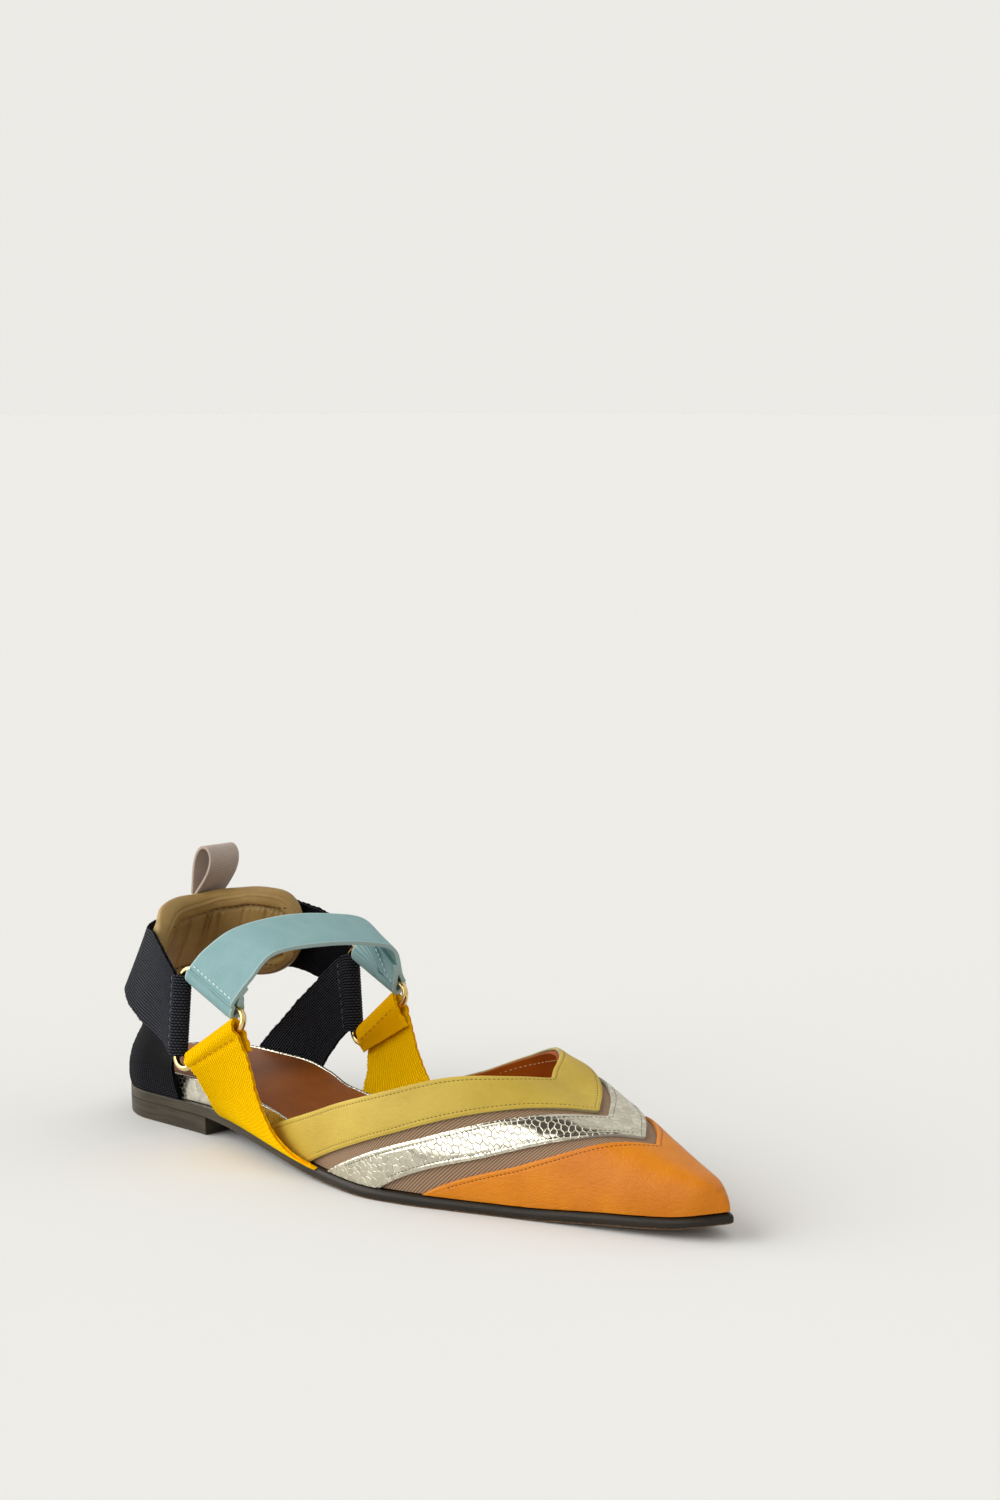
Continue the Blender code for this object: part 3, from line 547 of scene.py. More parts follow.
def resample(grid, spacing):
    """The same ribbon with evenly spaced rows."""
    grid = np.asarray(grid)
    run = run_along(grid)
    at = np.linspace(0, run[-1], int(round(run[-1] / spacing)) + 1)
    columns = grid.reshape(len(grid), -1).T
    rows = np.stack([np.interp(at, run, column) for column in columns], axis=1)
    return rows.reshape(len(at), *grid.shape[1:])


def navy_foot(name, count):
    """Lower arm from the sole to the ring's rear bar."""
    ring = rings[name]
    foot = sole_stretch(ring, NAVY_FEET[name]["ends"], STRAP_INSET, count)
    rise = np.array(NAVY_FEET[name]["rise"])
    bar = fold(ring, "rear", NAVY_FOLD, count)[0]
    behind = bar - ring.bar("rear")[2] * NAVY_BEHIND
    return bezier((foot, foot + rise, behind, bar), FOOT_ROWS)[:-1]


def heel_strap_rows(count):
    lateral = fold(rings["ring_lateral"], "rear", NAVY_FOLD, count)
    medial = fold(rings["ring_medial"], "rear", NAVY_FOLD, count)
    arm = [lateral[-1]]
    for drop, row in zip(UPPER_DROP, HEEL_ARM.values()):
        upper, lower = np.array(row[:3]), np.array(row[3:])
        arm.append(across(upper + (lower - upper) * drop / np.linalg.norm(lower - upper), lower, count))
    arm.append(medial[-1])
    first = navy_foot("ring_lateral", count)
    rows = first + lateral + through(arm, ARM_ROWS)[1:-1] + medial[::-1]
    bars = len(first) + len(lateral) // 2, len(rows) - 1 - len(medial) // 2
    grid = np.array(rows + navy_foot("ring_medial", count)[::-1])
    return grid, run_along(grid)[list(bars)]


def forefoot_strap_rows(name, count):
    ring = rings[name]
    turn = fold(ring, "lower", YELLOW_FOLDS[name], count)
    bends = [across(row[:3], row[3:], count) for row in YELLOW_BEND[name]]
    foot = sole_stretch(ring, YELLOW_FEET[name], YELLOW_INSET, count)
    strap = bezier((turn[-1], *bends, foot), FOREFOOT_ROWS)
    end = return_end(ring, strap, YELLOW_RETURN, YELLOW_CLOSING)
    grid = np.array(end + turn + strap[1:])
    return grid, run_along(grid)[len(end) + len(turn) // 2]


def instep_strap_rows(count):
    lateral, medial = rings["ring_lateral"], rings["ring_medial"]
    start = fold(lateral, "upper", BLUE_FOLD, count)
    end = fold(medial, "upper", BLUE_FOLD, count)
    edges = [across(row[:3], row[3:], count) for row in INSTEP_ARCH.values()]
    strap = through([start[-1], *edges, end[-1]], INSTEP_ROWS)
    back = return_end(lateral, strap, BLUE_RETURN, BLUE_CLOSING)
    rows = back + start + strap[1:-1] + end[::-1]
    bars = len(back) + len(start) // 2, len(rows) - 1 - len(end) // 2
    grid = np.array(rows + return_end(medial, strap[::-1], BLUE_RETURN, BLUE_CLOSING)[::-1])
    return grid, run_along(grid)[list(bars)]


pad_rows = np.array(through(list(HEEL_ARM.values()), PAD_ROWS))


def pad_frame(station):
    """Middle, up and inward directions and half width of the heel strap at a row number of HEEL_ARM."""
    at = np.arange(len(pad_rows)) / PAD_ROWS
    row, ahead = (np.array([np.interp(place_at, at, column) for column in pad_rows.T])
                  for place_at in (station, station + PAD_AHEAD))
    up = row[:3] - row[3:]
    width = np.linalg.norm(up)
    up /= width
    inward = np.cross((ahead - row)[:3] + (ahead - row)[3:], up)
    return (row[:3] + row[3:]) / 2, up, inward / np.linalg.norm(inward), width / 2


def pull_loop_rows(count):
    middle, up, inward, half = pad_frame(LOOP_STATION)
    base = middle + up * (half + LOOP_CLEAR) - inward * LOOP_BEHIND
    side = np.array([np.sin(LOOP_TURN), np.cos(LOOP_TURN), 0.0])
    up = up - side * (up @ side)
    up /= np.linalg.norm(up)
    inward = np.cross(side, up)
    side *= LOOP_WIDTH / 2
    waist = LOOP_RIBBON / 2 + GAP
    rows = []
    for turn in np.linspace(0, 2 * np.pi, LOOP_ROWS):
        swell = LOOP_BULGE * np.sin(turn) * np.sin(turn / 2) ** LOOP_NARROWING
        height = LOOP_RISE * (1 - np.cos(turn)) / 2
        at = base + up * height + inward * (waist * np.cos(turn / 2) + swell)
        rows.append(across(at - side, at + side, count))
    return np.array(rows)


# Modelling

def metres(points):
    return (np.asarray(points) - SHOE_MIDDLE) * MM


def settle(piece):
    """Makes one piece the only selected and active one."""
    bpy.ops.object.select_all(action="DESELECT")
    piece.select_set(True)
    bpy.context.view_layer.objects.active = piece


def place(piece, points, uv):
    """Moves a grid's vertices to the given points and gives them their flat place, in millimetres."""
    mesh = piece.data
    mesh.vertices.foreach_set("co", metres(points).astype(np.float32).ravel())
    corner = np.empty(len(mesh.loops), np.int32)
    mesh.loops.foreach_get("vertex_index", corner)
    mesh.uv_layers.active.data.foreach_set("uv", uv.reshape(-1, 2)[corner].astype(np.float32).ravel())
    mesh.update()


def sheet(name, points, uv, *names):
    """Grid primitive shaped into a sheet of points, rows by columns."""
    rows, columns = points.shape[:2]
    bpy.ops.object.select_all(action="DESELECT")
    bpy.ops.mesh.primitive_grid_add(x_subdivisions=columns - 1, y_subdivisions=rows - 1)
    piece = bpy.context.object
    piece.name = piece.data.name = name
    place(piece, points, uv)
    for skin in names:
        piece.data.materials.append(skins[skin])
    return piece


def modify(piece, kind, **settings):
    """Adds a modifier and applies it."""
    settle(piece)
    modifier = piece.modifiers.new(kind.lower(), kind)
    for key, value in settings.items():
        setattr(modifier, key, value)
    bpy.ops.object.modifier_apply(modifier=modifier.name)


def wall(piece, thick, back=0, rim=0):
    """Gives a sheet its thickness on the side away from its normals, with materials for its back and rim."""
    modify(piece, "SOLIDIFY", thickness=thick * MM, offset=-1.0, use_rim=True, material_offset=back,
           material_offset_rim=rim)


def soften(piece, width, angle=70.0, segments=2):
    """Rounds a piece's sharp edges."""
    modify(piece, "BEVEL", width=width * MM, segments=segments, limit_method="ANGLE",
           angle_limit=np.radians(angle))


def edit(piece, *steps):
    """Takes steps in edit mode, each on all of a piece's mesh."""
    settle(piece)
    bpy.ops.object.mode_set(mode="EDIT")
    for take in steps:
        bpy.ops.mesh.select_all(action="SELECT")
        take()
    bpy.ops.object.mode_set(mode="OBJECT")


def face_out():
    bpy.ops.mesh.normals_make_consistent(inside=False)


def merge(piece, distance=0.0005):
    edit(piece, lambda: bpy.ops.mesh.remove_doubles(threshold=distance * MM),
         lambda: bpy.ops.mesh.dissolve_degenerate(threshold=distance * MM), face_out)


def finish(piece, node=None, angle=40.0):
    """Shades a piece and places it in the frame."""
    settle(piece)
    bpy.ops.object.shade_smooth_by_angle(angle=np.radians(angle))
    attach(piece, "root")
    if node:
        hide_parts(node)


def facing_out(points, uv, core):
    """Turns a sheet's columns round where its normals would point at the core."""
    normal = np.cross(np.gradient(points, axis=1), np.gradient(points, axis=0))
    if (normal * (points - core)).sum() < 0:
        return points[:, ::-1], uv[:, ::-1]
    return points, uv


# Materials

TAUPE = ((50, 44, 33), (74, 65, 49))         # dark and light
HEEL_TAUPE = ((50, 44, 33), (72, 63, 48))
BLACK = ((24, 18, 10), (42, 33, 21))
RAW_LINE = (128, 96, 64)
GOLD = ((214, 178, 108), (244, 220, 160))
MESH = ((172, 141, 112), (84, 61, 44))       # threads, and holes darkened with painted shade
SCALE_CREASE = (162, 154, 134)


class Wire:
    """Value carried through a shader tree, with the usual arithmetic."""

    def __init__(self, tree, socket):
        self.tree = tree
        self.socket = socket

    def out(self, kind, inputs, key=0, **settings):
        """Output of a new node in the same tree."""
        return Wire(self.tree, add(self.tree, kind, inputs, **settings).outputs[key])

    def math(self, operation, *others):
        return self.out("Math", dict(enumerate((self, *others))), operation=operation)

    def vector(self, operation, *others, key=0):
        return self.out("VectorMath", dict(enumerate((self, *others))), key, operation=operation)

    def scaled(self, share):
        return self.out("VectorMath", {0: self, "Scale": share}, operation="SCALE")

    def __add__(self, other):
        return self.math("ADD", other)

    def __sub__(self, other):
        return self.math("SUBTRACT", other)

    def __rsub__(self, other):
        return self.out("Math", {0: other, 1: self}, operation="SUBTRACT")

    def __mul__(self, other):
        return self.math("MULTIPLY", other)

    def __truediv__(self, other):
        return self.math("DIVIDE", other)

    def ramp(self, low, high, start=0.0, end=1.0):
        """Smooth step between two limits."""
        inputs = {"Value": self, "From Min": low, "From Max": high, "To Min": start, "To Max": end}
        return self.out("MapRange", inputs, "Result", interpolation_type="SMOOTHSTEP")

    def ridges(self):
        """Round ridges, one for each whole step of the value."""
        return (self * np.pi).math("SINE").math("ABSOLUTE")

    def parts(self, kind="SeparateXYZ"):
        return [Wire(self.tree, socket) for socket in add(self.tree, kind, {0: self}).outputs]


def linear(card):
    """Linear colour from the 0 to 255 values of a colour card."""
    share = np.array(card) / 255
    value = np.where(share <= 0.04045, share / 12.92, ((share + 0.055) / 1.055) ** 2.4)
    return (*(float(c) for c in value), 1.0)


def feed(socket, value):
    """Links a socket to a wire, or sets its own value; three numbers for a colour are a colour card's."""
    if isinstance(value, Wire):
        value.tree.links.new(value.socket, socket)
    elif socket.type == "RGBA" and len(value) == 3:
        socket.default_value = linear(value)
    else:
        socket.default_value = value


def add(tree, kind, inputs=None, **settings):
    """Adds a node with its settings, and sets or links its inputs."""
    node = tree.nodes.new("ShaderNode" + kind)
    for key, value in settings.items():
        setattr(node, key, value)
    for key, value in (inputs or {}).items():
        feed(node.inputs[key], value)
    return node


def source(tree, kind, key=0):
    return Wire(tree, add(tree, kind).outputs[key])


def object_place(tree):
    return source(tree, "TexCoord", "Object")


def flat_place(tree):
    return source(tree, "UVMap")


def combine(kind, *wires):
    return wires[0].out(kind, dict(enumerate(wires)))


def noise(place_at, scale, detail, roughness=0.5, key="Fac", **settings):
    inputs = {"Vector": place_at, "Scale": scale, "Detail": detail, "Roughness": roughness}
    return place_at.out("TexNoise", inputs, key, **settings)


def blend(tree, share, first, second, mode="MIX"):
    node = add(tree, "Mix", data_type="RGBA", blend_type=mode)
    for key, kind, value in (("Factor", "VALUE", share), ("A", "RGBA", first), ("B", "RGBA", second)):
        feed([s for s in node.inputs if (s.name, s.type) == (key, kind)][0], value)
    return Wire(tree, [s for s in node.outputs if s.type == "RGBA"][0])


def group(name, inputs, outputs):
    """Empty shader node group with named float inputs and outputs."""
    tree = bpy.data.node_groups.new(name, "ShaderNodeTree")
    for key, value in inputs.items():
        tree.interface.new_socket(key, in_out="INPUT", socket_type="NodeSocketFloat").default_value = value
    for key in outputs:
        tree.interface.new_socket(key, in_out="OUTPUT", socket_type="NodeSocketFloat")
    given = tree.nodes.new("NodeGroupInput").outputs
    return tree, {key: Wire(tree, given[key]) for key in inputs}, tree.nodes.new("NodeGroupOutput").inputs


def use(tree, shared, **values):
    """Places a shared group with its own values."""
    node = tree.nodes.new("ShaderNodeGroup")
    node.node_tree = shared
    for key, value in values.items():
        feed(node.inputs[key], value)
    return {socket.name: Wire(tree, socket) for socket in node.outputs}


def make_grain():
    """Leather grain: faint pebbles with creases between them, finer wrinkles and cloudy patches."""
    tree, given, out = group("leather_grain", {"Scale": 1100.0, "Wrinkle": 0.4}, ("Height", "Cloud"))
    at = object_place(tree)
    bent = noise(at, scale=260.0, detail=3.0, key="Color").vector("MULTIPLY", (0.0006, 0.0006, 0.0006))
    moved = at.vector("ADD", bent)
    cell = {"Vector": moved, "Scale": given["Scale"]}
    pebble = moved.out("TexVoronoi", cell, "Distance", feature="DISTANCE_TO_EDGE")
    drawn = moved.vector("MULTIPLY", (0.6, 0.9, 1.5))
    fine = noise(drawn, scale=given["Scale"] * 0.6, detail=4.0, roughness=0.55)
    feed(out["Height"], pebble.ramp(0.0, 0.28) * 0.18 + fine * given["Wrinkle"])
    feed(out["Cloud"], noise(at, scale=42.0, detail=4.0, roughness=0.55).ramp(0.32, 0.7))
    return tree


def make_scales():
    """Snake embossing on the piece's flat place: rounded six-sided scales with creases between them."""
    outputs = ("Height", "Crease", "Scale Shade")
    tree, given, out = group("snake_scales", {"Scale": 0.42, "Tilt": 0.06}, outputs)
    flat = flat_place(tree)
    wave = noise(flat, scale=0.2, detail=2.0, key="Color", noise_dimensions="2D")
    bent = flat.vector("ADD", wave.vector("MULTIPLY", (2.6, 2.6, 0.0))).scaled(given["Scale"])
    half = (0.5, 0.866, 1.0)
    back = tuple(-h for h in half)
    rows = []
    for shift in ((0.0, 0.0, 0.0), half):
        local = bent.vector("SUBTRACT", shift).vector("WRAP", half, back)
        x, y = local.vector("ABSOLUTE").parts()[:2]
        rows.append((local, x.math("MAXIMUM", x * 0.5 + y * 0.866)))
    (first, near_first), (second, near_second) = rows
    pick = near_first.math("LESS_THAN", near_second)
    local = second.vector("ADD", first.vector("SUBTRACT", second).scaled(pick))
    middle = bent.vector("SUBTRACT", local).vector("ADD", (0.25, 0.433, 0.0))
    cell = middle.vector("SNAP", half)
    drawn = cell.out("TexWhiteNoise", {"Vector": cell}, "Color", noise_dimensions="2D")
    chance = drawn.parts("SeparateColor")
    x, y = local.parts()[:2]
    tilt = ((chance[0] - 0.5) * x + (chance[1] - 0.5) * y) * given["Tilt"]
    distance = 0.5 - near_first.math("MINIMUM", near_second)
    feed(out["Height"], distance.ramp(0.0, 0.1, 0.0, 0.05) + tilt)
    feed(out["Crease"], distance.ramp(0.012, 0.052, 1.0, 0.0))
    feed(out["Scale Shade"], chance[2])
    return tree


def make_weave():
    """Webbing weave on the ribbon's flat place: rows of small knots along each lengthwise ridge."""
    tree, given, out = group("webbing_weave", {"Ridge": 1.2, "Knot": KNOT}, ("Height", "Shade"))
    u, v = flat_place(tree).parts()[:2]
    column = u / given["Ridge"]
    row = v / given["Knot"] + column.math("FLOOR") * 0.5
    height = column.ridges().math("POWER", 0.7) * (row.ridges() * 0.5 + 0.5)
    feed(out["Height"], height)
    worn = noise(object_place(tree), scale=700.0, detail=3.0).ramp(0.2, 0.75, 0.75, 1.1)
    # Shade: lighter on the ridge tops and knots, darker in the valleys between them, as painted sheen and
    # painted shade, varied at random
    feed(out["Shade"], height.ramp(0.35, 0.92) * worn)
    return tree


def make_ribs():
    """Crosswise ribs of elastic and grosgrain on the ribbon's flat place, with fine threads along it."""
    tree, given, out = group("cross_ribs", {"Rib": BLUE_RIB, "Thread": 0.32}, ("Height", "Shade"))
    u, v = flat_place(tree).parts()[:2]
    height = (v / given["Rib"]).ridges() * 0.7 + (u / given["Thread"]).ridges() * 0.3
    feed(out["Height"], height)
    worn = noise(object_place(tree), scale=160.0, detail=4.0).ramp(0.25, 0.75, 0.85, 1.05)
    # Shade: lighter on the ribs' tops, darker in the grooves between them: painted shade, varied at random
    feed(out["Shade"], height * worn)
    return tree


def make_mesh():
    """Fine diagonal mesh on the upper's flat place: crossed threads with small holes."""
    tree, given, out = group("diagonal_mesh", {"Pitch": 0.62}, ("Height", "Hole Shade"))
    u, v = flat_place(tree).parts()[:2]
    height = ((u * 0.5 + v * -0.87) / given["Pitch"]).ridges() * 0.65
    height = height + ((u * 0.87 + v * 0.5) / given["Pitch"]).ridges() * 0.35
    feed(out["Height"], height)
    # Hole Shade: darker where the threads are low, painted shade for the shaded lining seen through the holes
    feed(out["Hole Shade"], height.ramp(0.25, 0.75, 1.0, 0.0))
    return tree


def make_streaks():
    """Streaks of layered leather along the sole's edge."""
    tree, given, out = group("layer_streaks", {"Layer": 2.2}, ("Streak", "Grain"))
    at = object_place(tree)
    x, y, z = at.parts()
    drawn = combine("CombineXYZ", x * 60.0, y * 60.0, z * (given["Layer"] * 1000.0))
    feed(out["Streak"], noise(drawn, scale=1.0, detail=4.0, roughness=0.6).ramp(0.3, 0.7))
    feed(out["Grain"], noise(at, scale=2400.0, detail=3.0))
    return tree


grain_group = make_grain()
scale_group = make_scales()
weave_group = make_weave()
rib_group = make_ribs()
mesh_group = make_mesh()
streak_group = make_streaks()


def new_material(name, **sockets):
    """Material with its shader's even values set; a name's underscores stand for spaces."""
    material = bpy.data.materials.new(name)
    material.use_nodes = True
    tree = material.node_tree
    shader = tree.nodes["Principled BSDF"]
    for key, value in sockets.items():
        shader.inputs[key.replace("_", " ")].default_value = value
    return material, tree, shader.inputs


def bump(shader, height, depth):
    """Relief of the given depth in millimetres."""
    inputs = {"Height": height, "Distance": depth * MM, "Strength": 1.0}
    feed(shader["Normal"], height.out("Bump", inputs, "Normal"))


def leather(name, dark, light, scale, depth, roughness, wrinkle, gloss):
    material, tree, shader = new_material(name, Specular_IOR_Level=gloss)
    grain = use(tree, grain_group, Scale=scale, Wrinkle=wrinkle)
    height = grain["Height"]
    # up to 7 % darker where the grain is low: painted shade in its creases and wrinkles
    hollow_shade = height.ramp(0.1, 0.5, 0.93, 1.0)
    shade = blend(tree, grain["Cloud"], dark, light)
    shade = blend(tree, 1.0, shade, combine("CombineColor", hollow_shade, hollow_shade, hollow_shade), "MULTIPLY")
    feed(shader["Base Color"], shade)
    low, high = roughness
    feed(shader["Roughness"], height.ramp(0.2, 0.8, high, low))
    bump(shader, height, depth)
    return material


def snake(name, scale, tilt, dark, light, roughness, relief):
    material, tree, shader = new_material(name, Coat_Weight=0.15, Coat_Roughness=0.12)
    scales = use(tree, scale_group, Scale=scale, Tilt=tilt)
    crease = scales["Crease"]
    silver = blend(tree, scales["Scale Shade"], dark, light)
    feed(shader["Base Color"], blend(tree, crease * (0.9 * relief), silver, SCALE_CREASE))
    feed(shader["Metallic"], crease.ramp(0.0, 1.0, 1.0, 1.0 - relief))
    feed(shader["Roughness"], crease.ramp(0.0, 1.0, *roughness))
    bump(shader, scales["Height"], relief)
    return material


def webbing(name, dark, light, width, gloss, depth):
    material, tree, shader = new_material(name, Roughness=0.75, Specular_IOR_Level=gloss)
    weave = use(tree, weave_group, Ridge=width / RIDGES)
    # base colour runs from dark in the weave's valleys (painted shade) to light on its ridges (painted sheen)
    feed(shader["Base Color"], blend(tree, weave["Shade"], dark, light))
    bump(shader, weave["Height"], depth)
    return material


def ribbed(name, dark, light, rib, depth, width, selvedge):
    """Ribbed ribbon of a width, with selvedges of their own colour."""
    material, tree, shader = new_material(name, Roughness=0.72, Specular_IOR_Level=0.2)
    ribs = use(tree, rib_group, Rib=rib)
    from_middle = (flat_place(tree).parts()[0] - width / 2).math("ABSOLUTE")
    # darker in the grooves between the ribs: painted shade
    shade = blend(tree, ribs["Shade"], dark, light)
    at_edge = from_middle.ramp(width / 2 - 0.7, width / 2 - 0.4)
    feed(shader["Base Color"], blend(tree, at_edge, shade, selvedge))
    bump(shader, ribs["Height"], depth)
    return material


def thread(name, dark, light):
    """Twisted sewing thread."""
    material, tree, shader = new_material(name, Roughness=0.6, Specular_IOR_Level=0.25)
    twist = noise(object_place(tree), scale=2600.0, detail=2.0)
    feed(shader["Base Color"], blend(tree, twist, dark, light))
    bump(shader, twist, depth=0.08)
    return material


def layered(name, gloss, roughness):
    """Layered leather of the sole and heel, before it is coloured."""
    material, tree, shader = new_material(name, Specular_IOR_Level=gloss)
    streaks = use(tree, streak_group, Layer=0.9)
    feed(shader["Roughness"], streaks["Grain"].ramp(0.3, 0.7, *roughness))
    bump(shader, streaks["Grain"], depth=0.05)
    return material, tree, shader, streaks


def make_sole_skin():
    """Sole edge: taupe with streaks at the heel and waist, black along the forefoot over a raw brown line."""
    material, tree, shader, streaks = layered("sole_leather", 0.3, (0.36, 0.52))
    taupe = blend(tree, streaks["Streak"], *TAUPE)
    black = blend(tree, streaks["Streak"], *BLACK)
    fore = object_place(tree).parts()[0].ramp(*((x - SHOE_MIDDLE[0]) * MM for x in BLACK_EDGE))
    fuzzy = flat_place(tree).parts()[1] + streaks["Grain"].ramp(0.3, 0.7, -0.25, 0.25)
    raw = fuzzy.ramp(0.3, 0.5, 1.0, 0.0) * fore
    feed(shader["Base Color"], blend(tree, raw, blend(tree, fore, taupe, black), RAW_LINE))
    return material


def make_heel_skin():
    material, tree, shader, streaks = layered("heel_leather", 0.35, (0.45, 0.62))
    feed(shader["Base Color"], blend(tree, streaks["Streak"], *HEEL_TAUPE))
    return material


def make_gold():
    material, tree, shader = new_material("gold_wire", Metallic=1.0, Coat_Weight=0.3, Coat_Roughness=0.08)
    haze = noise(object_place(tree), scale=320.0, detail=5.0)
    feed(shader["Base Color"], blend(tree, haze, *GOLD))
    feed(shader["Roughness"], haze.ramp(0.3, 0.7, 0.09, 0.2))
    bump(shader, haze, depth=0.03)
    return material


def make_mesh_cloth():
    material, tree, shader = new_material("mesh_cloth", Roughness=0.6, Specular_IOR_Level=0.3)
    mesh = use(tree, mesh_group)
    # the holes get the dark colour: painted shade
    feed(shader["Base Color"], blend(tree, mesh["Hole Shade"], *MESH))
    bump(shader, mesh["Height"], depth=0.16)
    return material


LEATHERS = {                  # dark, light, grain scale, depth, roughness of tops and hollows, wrinkle, gloss
    "orange_leather": ((208, 118, 0), (226, 136, 4), 1250.0, 0.26, (0.26, 0.42), 0.8, 0.3),
    "yellow_leather": ((192, 162, 58), (206, 178, 72), 1200.0, 0.2, (0.42, 0.58), 0.7, 0.35),
    "lining_leather": ((130, 56, 0), (150, 70, 0), 1500.0, 0.05, (0.45, 0.6), 0.4, 0.15),
    "sock_leather": ((146, 76, 12), (168, 92, 20), 1400.0, 0.05, (0.4, 0.54), 0.4, 0.3),
    "pad_leather": ((148, 117, 62), (174, 143, 86), 1500.0, 0.07, (0.4, 0.55), 0.5, 0.35),
    "raw_edge": ((164, 160, 148), (200, 196, 184), 2200.0, 0.08, (0.75, 0.9), 0.7, 0.35),
    "yellow_edge": ((150, 140, 98), (184, 172, 122), 2200.0, 0.08, (0.75, 0.9), 0.7, 0.35),
    "orange_edge": ((176, 104, 44), (206, 134, 66), 2200.0, 0.08, (0.75, 0.9), 0.7, 0.35),
}
SNAKES = {                    # scale, tilt, dark, light, roughness of scales and creases, relief
    "silver_snake": (0.42, 0.07, (196, 190, 170), (224, 219, 200), (0.1, 0.6), 1.0),
    "silver_footbed": (0.45, 0.11, (198, 193, 176), (226, 221, 205), (0.26, 0.6), 0.4),
}
WEBBINGS = {                  # colour in the weave's valleys (painted shade) and on its ridges (painted sheen), width, gloss, depth of the weave
    "navy_webbing": ((5, 5, 7), (62, 64, 72), NAVY_WIDTH, 0.08, 0.3),
    "yellow_webbing": ((246, 178, 0), (255, 220, 0), YELLOW_WIDTH, 0.02, 0.18),
}
RIBBONS = {                   # colour in the grooves (painted shade) and on the ribs' tops, rib, depth of the ribs, width, selvedge
    "blue_elastic": ((96, 140, 146), (160, 193, 194), BLUE_RIB, 0.08, BLUE_WIDTH, (172, 200, 198)),
    "loop_grosgrain": ((144, 129, 119), (200, 184, 172), LOOP_RIB, 0.06, LOOP_WIDTH, (180, 162, 150)),
}
THREADS = {                   # dark, light
    "olive_thread": ((96, 80, 26), (142, 122, 52)),
    "dark_thread": ((40, 32, 22), (84, 66, 42)),
    "grey_thread": ((66, 64, 58), (120, 118, 108)),
    "pale_blue_thread": ((190, 214, 214), (226, 240, 238)),
    "navy_thread": ((60, 66, 84), (120, 128, 150)),
    "yellow_thread": ((190, 122, 4), (236, 170, 10)),
    "tan_thread": ((150, 110, 70), (206, 168, 122)),
    "pad_thread": ((58, 44, 20), (92, 72, 38)),
    "rust_thread": ((92, 48, 8), (136, 76, 18)),
}
skins = {
    "gold": make_gold(),
    "mesh": make_mesh_cloth(),
    "sole": make_sole_skin(),
    "heel": make_heel_skin(),
}
FINISHES = ((leather, LEATHERS), (snake, SNAKES), (webbing, WEBBINGS), (ribbed, RIBBONS), (thread, THREADS))
for make, rows in FINISHES:
    skins.update({name: make(name, *row) for name, row in rows.items()})


# Stitches

def make_stitch(length, thick):
    """One stitch: a sphere drawn out and flattened, for copying along a seam."""
    bpy.ops.object.select_all(action="DESELECT")
    bpy.ops.mesh.primitive_uv_sphere_add(segments=8, ring_count=6, radius=0.5)
    stitch = bpy.context.object
    edit(stitch, lambda: bpy.ops.transform.resize(value=(thick, thick * STITCH_FLATNESS, length)))
    corners = np.array([v.co for v in stitch.data.vertices])
    faces = [list(p.vertices) for p in stitch.data.polygons]
    bpy.data.objects.remove(stitch)
    return corners, faces


def seam(name, path, out, slot, skin, pitch=1.8, length=1.3, thick=0.4, sunk=0.06):
    """Row of stitches along a path of points, lying on the surface whose normals are out."""
    path, out = np.asarray(path), np.asarray(out)
    run = run_of(path)
    count = max(int(run[-1] / pitch), 1)
    at = (np.arange(count) + 0.5) * run[-1] / count

    def at_stitches(values, shift=0.0):
        return np.stack([np.interp(at + shift, run, column) for column in values.T], axis=1)

    along = unit(at_stitches(path, STITCH_REACH) - at_stitches(path, -STITCH_REACH))
    up = at_stitches(out)
    up = unit(up - along * (up * along).sum(axis=1)[:, None])
    side = np.cross(up, along)
    corners, faces = make_stitch(length, thick)
    points = (at_stitches(path) - up * sunk)[:, None] + corners[None, :, :1] * side[:, None]
    points = points + corners[None, :, 1:2] * up[:, None] + corners[None, :, 2:] * along[:, None]
    polygons = [[v + i * len(corners) for v in face] for i in range(count) for face in faces]
    mesh = bpy.data.meshes.new(name)
    mesh.from_pydata(metres(points.reshape(-1, 3)).tolist(), [], polygons)
    mesh.materials.append(skins[skin])
    piece = bpy.data.objects.new(name, mesh)
    bpy.context.scene.collection.objects.link(piece)
    finish(piece, angle=80.0)


# Sole pieces

QUARTER = np.sin(np.linspace(0, np.pi / 2, 26))   # steps of a quarter round


def both_sides(x, inset, back, tip):
    """Sides of the sole's outline over stations x: the lateral one forwards, and the medial one back."""
    low, high = outline(x, inset, back, tip)
    return np.stack([x, low], axis=1), np.stack([x, high], axis=1)[::-1]


def sole_edge(inset, back, tip, steps=130):
    """Closed outline of the sole at an inset: the lateral side to the toe, and back on the medial side."""
    heel = back + HEEL_ROUND * (1 - QUARTER[::-1])
    toe = tip - TOE_ROUND * (1 - QUARTER)
    x = np.concatenate([heel, np.linspace(back + HEEL_ROUND, tip - TOE_ROUND, steps)[1:-1], toe])
    lateral, medial = both_sides(x, inset(x), back, tip)
    return np.concatenate([lateral, medial[1:]])


def heel_edge(inset, steps=40, breast_steps=13):
    """Closed outline of the heel: round its back, and straight across the breast."""
    back, front = float(inset), BREAST - inset
    heel = back + HEEL_ROUND * (1 - QUARTER[::-1])
    x = np.concatenate([heel, np.linspace(back + HEEL_ROUND, front, steps)[1:]])
    lateral, medial = both_sides(x, inset, back, LENGTH)
    y = np.linspace(lateral[-1, 1], medial[0, 1], breast_steps)
    breast = np.stack([np.full(breast_steps, front), y], axis=1)
    return np.concatenate([lateral, breast[1:-1], medial])


def bed_edge(inset):
    """Outline of the footbed, drawn in by inset."""
    return sole_edge(lambda x: footbed_inset(x) + inset, FOOTBED_BACK + inset, FOOTBED_TIP - inset)


